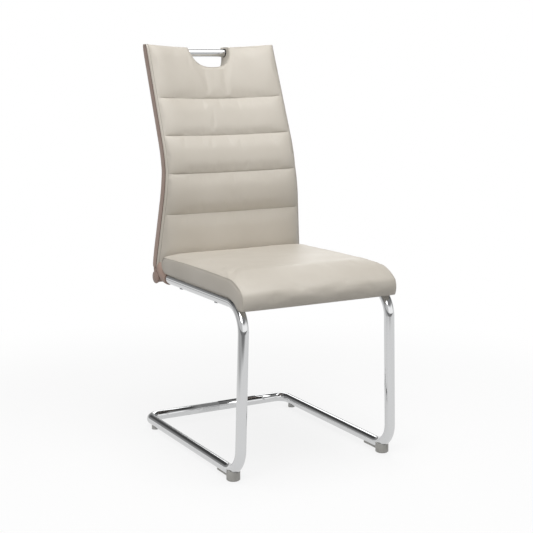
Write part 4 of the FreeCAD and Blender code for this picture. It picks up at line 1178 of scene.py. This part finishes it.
add_soft_box("key_soft_box", (-1.8, -1.7, 2.3), (0, 0, 0.5), 1.6, 1.6, 25)
add_soft_box("top_soft_box", (0.1, -0.5, 2.6), (0, 0, 0.4), 1.8, 1.8, 31)
add_soft_box("rear_soft_box", (1.4, 2.2, 1.7), (0, 0, 0.5), 1.4, 1.4, 12)

floor = bmesh.new()
bmesh.ops.create_grid(floor, x_segments=1, y_segments=1, size=20)
floor_mesh = bpy.data.meshes.new("studio_floor")
floor.to_mesh(floor_mesh)
floor.free()
floor_piece = place_object("studio_floor", floor_mesh)


def combined(material, operation, result, *others):
    """One number made of several, each a socket or a plain number."""
    for other in others:
        node = add_node(material, "ShaderNodeMath", operation=operation)
        for socket, source in zip(node.inputs, (result, other)):
            if isinstance(source, float):
                socket.default_value = source
            else:
                link(material, source, socket)
        result = node.outputs["Value"]
    return result


def along(material, place, direction):
    """How far a place lies in a direction."""
    node = add_node(material, "ShaderNodeVectorMath", operation="DOT_PRODUCT")
    node.inputs[1].default_value = direction
    link(material, place, node.inputs[0])
    return node.outputs["Value"]


ROOM_SIDE = (math.sin(CAMERA_TURN), -math.cos(CAMERA_TURN), 0)
FLOOR_GLOW = 0.80
SHADOW_REACH = (0.75, 1.5)
PAPER_WHITE = 0.96
BOUNCE_LOSS = 0.5
REFLECTED_FRONT_SPAN = (1.3, 2.2)
FRONT_DIMMING = (0.0, 0.78)
REFLECTED_LEFT_SPAN = (0.9, 1.6)
LEFT_DIMMING = (0.12, 0.5)

paper = bpy.data.materials.new("white_sweep")
paper.use_nodes = True
paper.node_tree.nodes.clear()
surface = add_node(paper, "ShaderNodeBsdfDiffuse")
glow = add_node(paper, "ShaderNodeEmission", Color=(1, 1, 1, 1))
rays = add_node(paper, "ShaderNodeLightPath")
lost = combined(paper, "MULTIPLY", rays.outputs["Is Diffuse Ray"], BOUNCE_LOSS)
link(paper, combined(paper, "SUBTRACT", PAPER_WHITE, lost), surface.inputs["Color"])
floor_place = object_place(paper)
away = add_node(paper, "ShaderNodeVectorMath", operation="LENGTH")
link(paper, floor_place, away.inputs[0])
whiteness = ramp_value(paper, away.outputs["Value"], *SHADOW_REACH, FLOOR_GLOW, 1.0)
seen = combined(paper, "MAXIMUM", rays.outputs["Is Camera Ray"], rays.outputs["Is Glossy Ray"],
                rays.outputs["Is Transmission Ray"])
# Painted reflection: to glossy rays only, the floor dims towards its far front and its left;
# the camera and all other rays see it unchanged.
reflected_front_dimming = ramp_value(paper, along(paper, floor_place, ROOM_SIDE), *REFLECTED_FRONT_SPAN, *FRONT_DIMMING)
reflected_left_dimming = ramp_value(paper, along(paper, floor_place, (-1, 0, 0)), *REFLECTED_LEFT_SPAN, *LEFT_DIMMING)
reflected_floor_dimming = combined(paper, "MAXIMUM", reflected_front_dimming, reflected_left_dimming)
dimming = combined(paper, "MULTIPLY", reflected_floor_dimming, rays.outputs["Is Glossy Ray"])
link(paper, combined(paper, "SUBTRACT", 1.0, dimming), glow.inputs["Strength"])
blend = add_node(paper, "ShaderNodeMixShader")
link(paper, combined(paper, "MULTIPLY", seen, whiteness), blend.inputs[0])
link(paper, surface.outputs["BSDF"], blend.inputs[1])
link(paper, glow.outputs["Emission"], blend.inputs[2])
output = add_node(paper, "ShaderNodeOutputMaterial")
link(paper, blend.outputs["Shader"], output.inputs["Surface"])
floor_mesh.materials.append(paper)

WORLD_FILL = 0.38
BRIGHT_FRONT = 1.2
DARK_REAR = 0.30
LEFT_GREY = 0.55
DARK_CEILING = 0.22
FRONT_SPAN = (-0.30, 0.10)
SWEEP_SPAN = (0.05, 0.18)
LEFT_SPAN = (0.45, 0.85)
CEILING_SPAN = (0.30, 0.50)

world = bpy.data.worlds.new("studio")
bpy.context.scene.world = world
world.use_nodes = True
backdrop = world.node_tree.nodes["Background"]
backdrop.inputs["Color"].default_value = (1, 1, 1, 1)
rays = add_node(world, "ShaderNodeLightPath")
bearing = add_node(world, "ShaderNodeTexCoord").outputs["Generated"]
height = along(world, bearing, (0, 0, 1))
# Painted reflection: this room of bright and dark bands is seen by glossy rays only; other
# rays see an even white world.
room = ramp_value(world, along(world, bearing, ROOM_SIDE), *FRONT_SPAN, DARK_REAR,
                  BRIGHT_FRONT)
sweep = ramp_value(world, height, *SWEEP_SPAN, 1.0, DARK_REAR)
left = ramp_value(world, along(world, bearing, (-1, 0, 0)), *LEFT_SPAN, 1.0, LEFT_GREY)
ceiling = ramp_value(world, height, *CEILING_SPAN, 1.0, DARK_CEILING)
mirrored_room = combined(world, "MULTIPLY", combined(world, "MAXIMUM", room, sweep), left,
                         ceiling)
seen = combined(world, "MAXIMUM", rays.outputs["Is Camera Ray"],
                rays.outputs["Is Transmission Ray"])
strength = ramp_value(world, seen, 0.0, 1.0, WORLD_FILL, 1.0)
reflected = combined(world, "MULTIPLY", mirrored_room, rays.outputs["Is Glossy Ray"])
other = combined(world, "MULTIPLY", strength,
                 combined(world, "SUBTRACT", 1.0, rays.outputs["Is Glossy Ray"]))
link(world, combined(world, "ADD", reflected, other), backdrop.inputs["Strength"])

bpy.context.scene.view_settings.view_transform = "Standard"
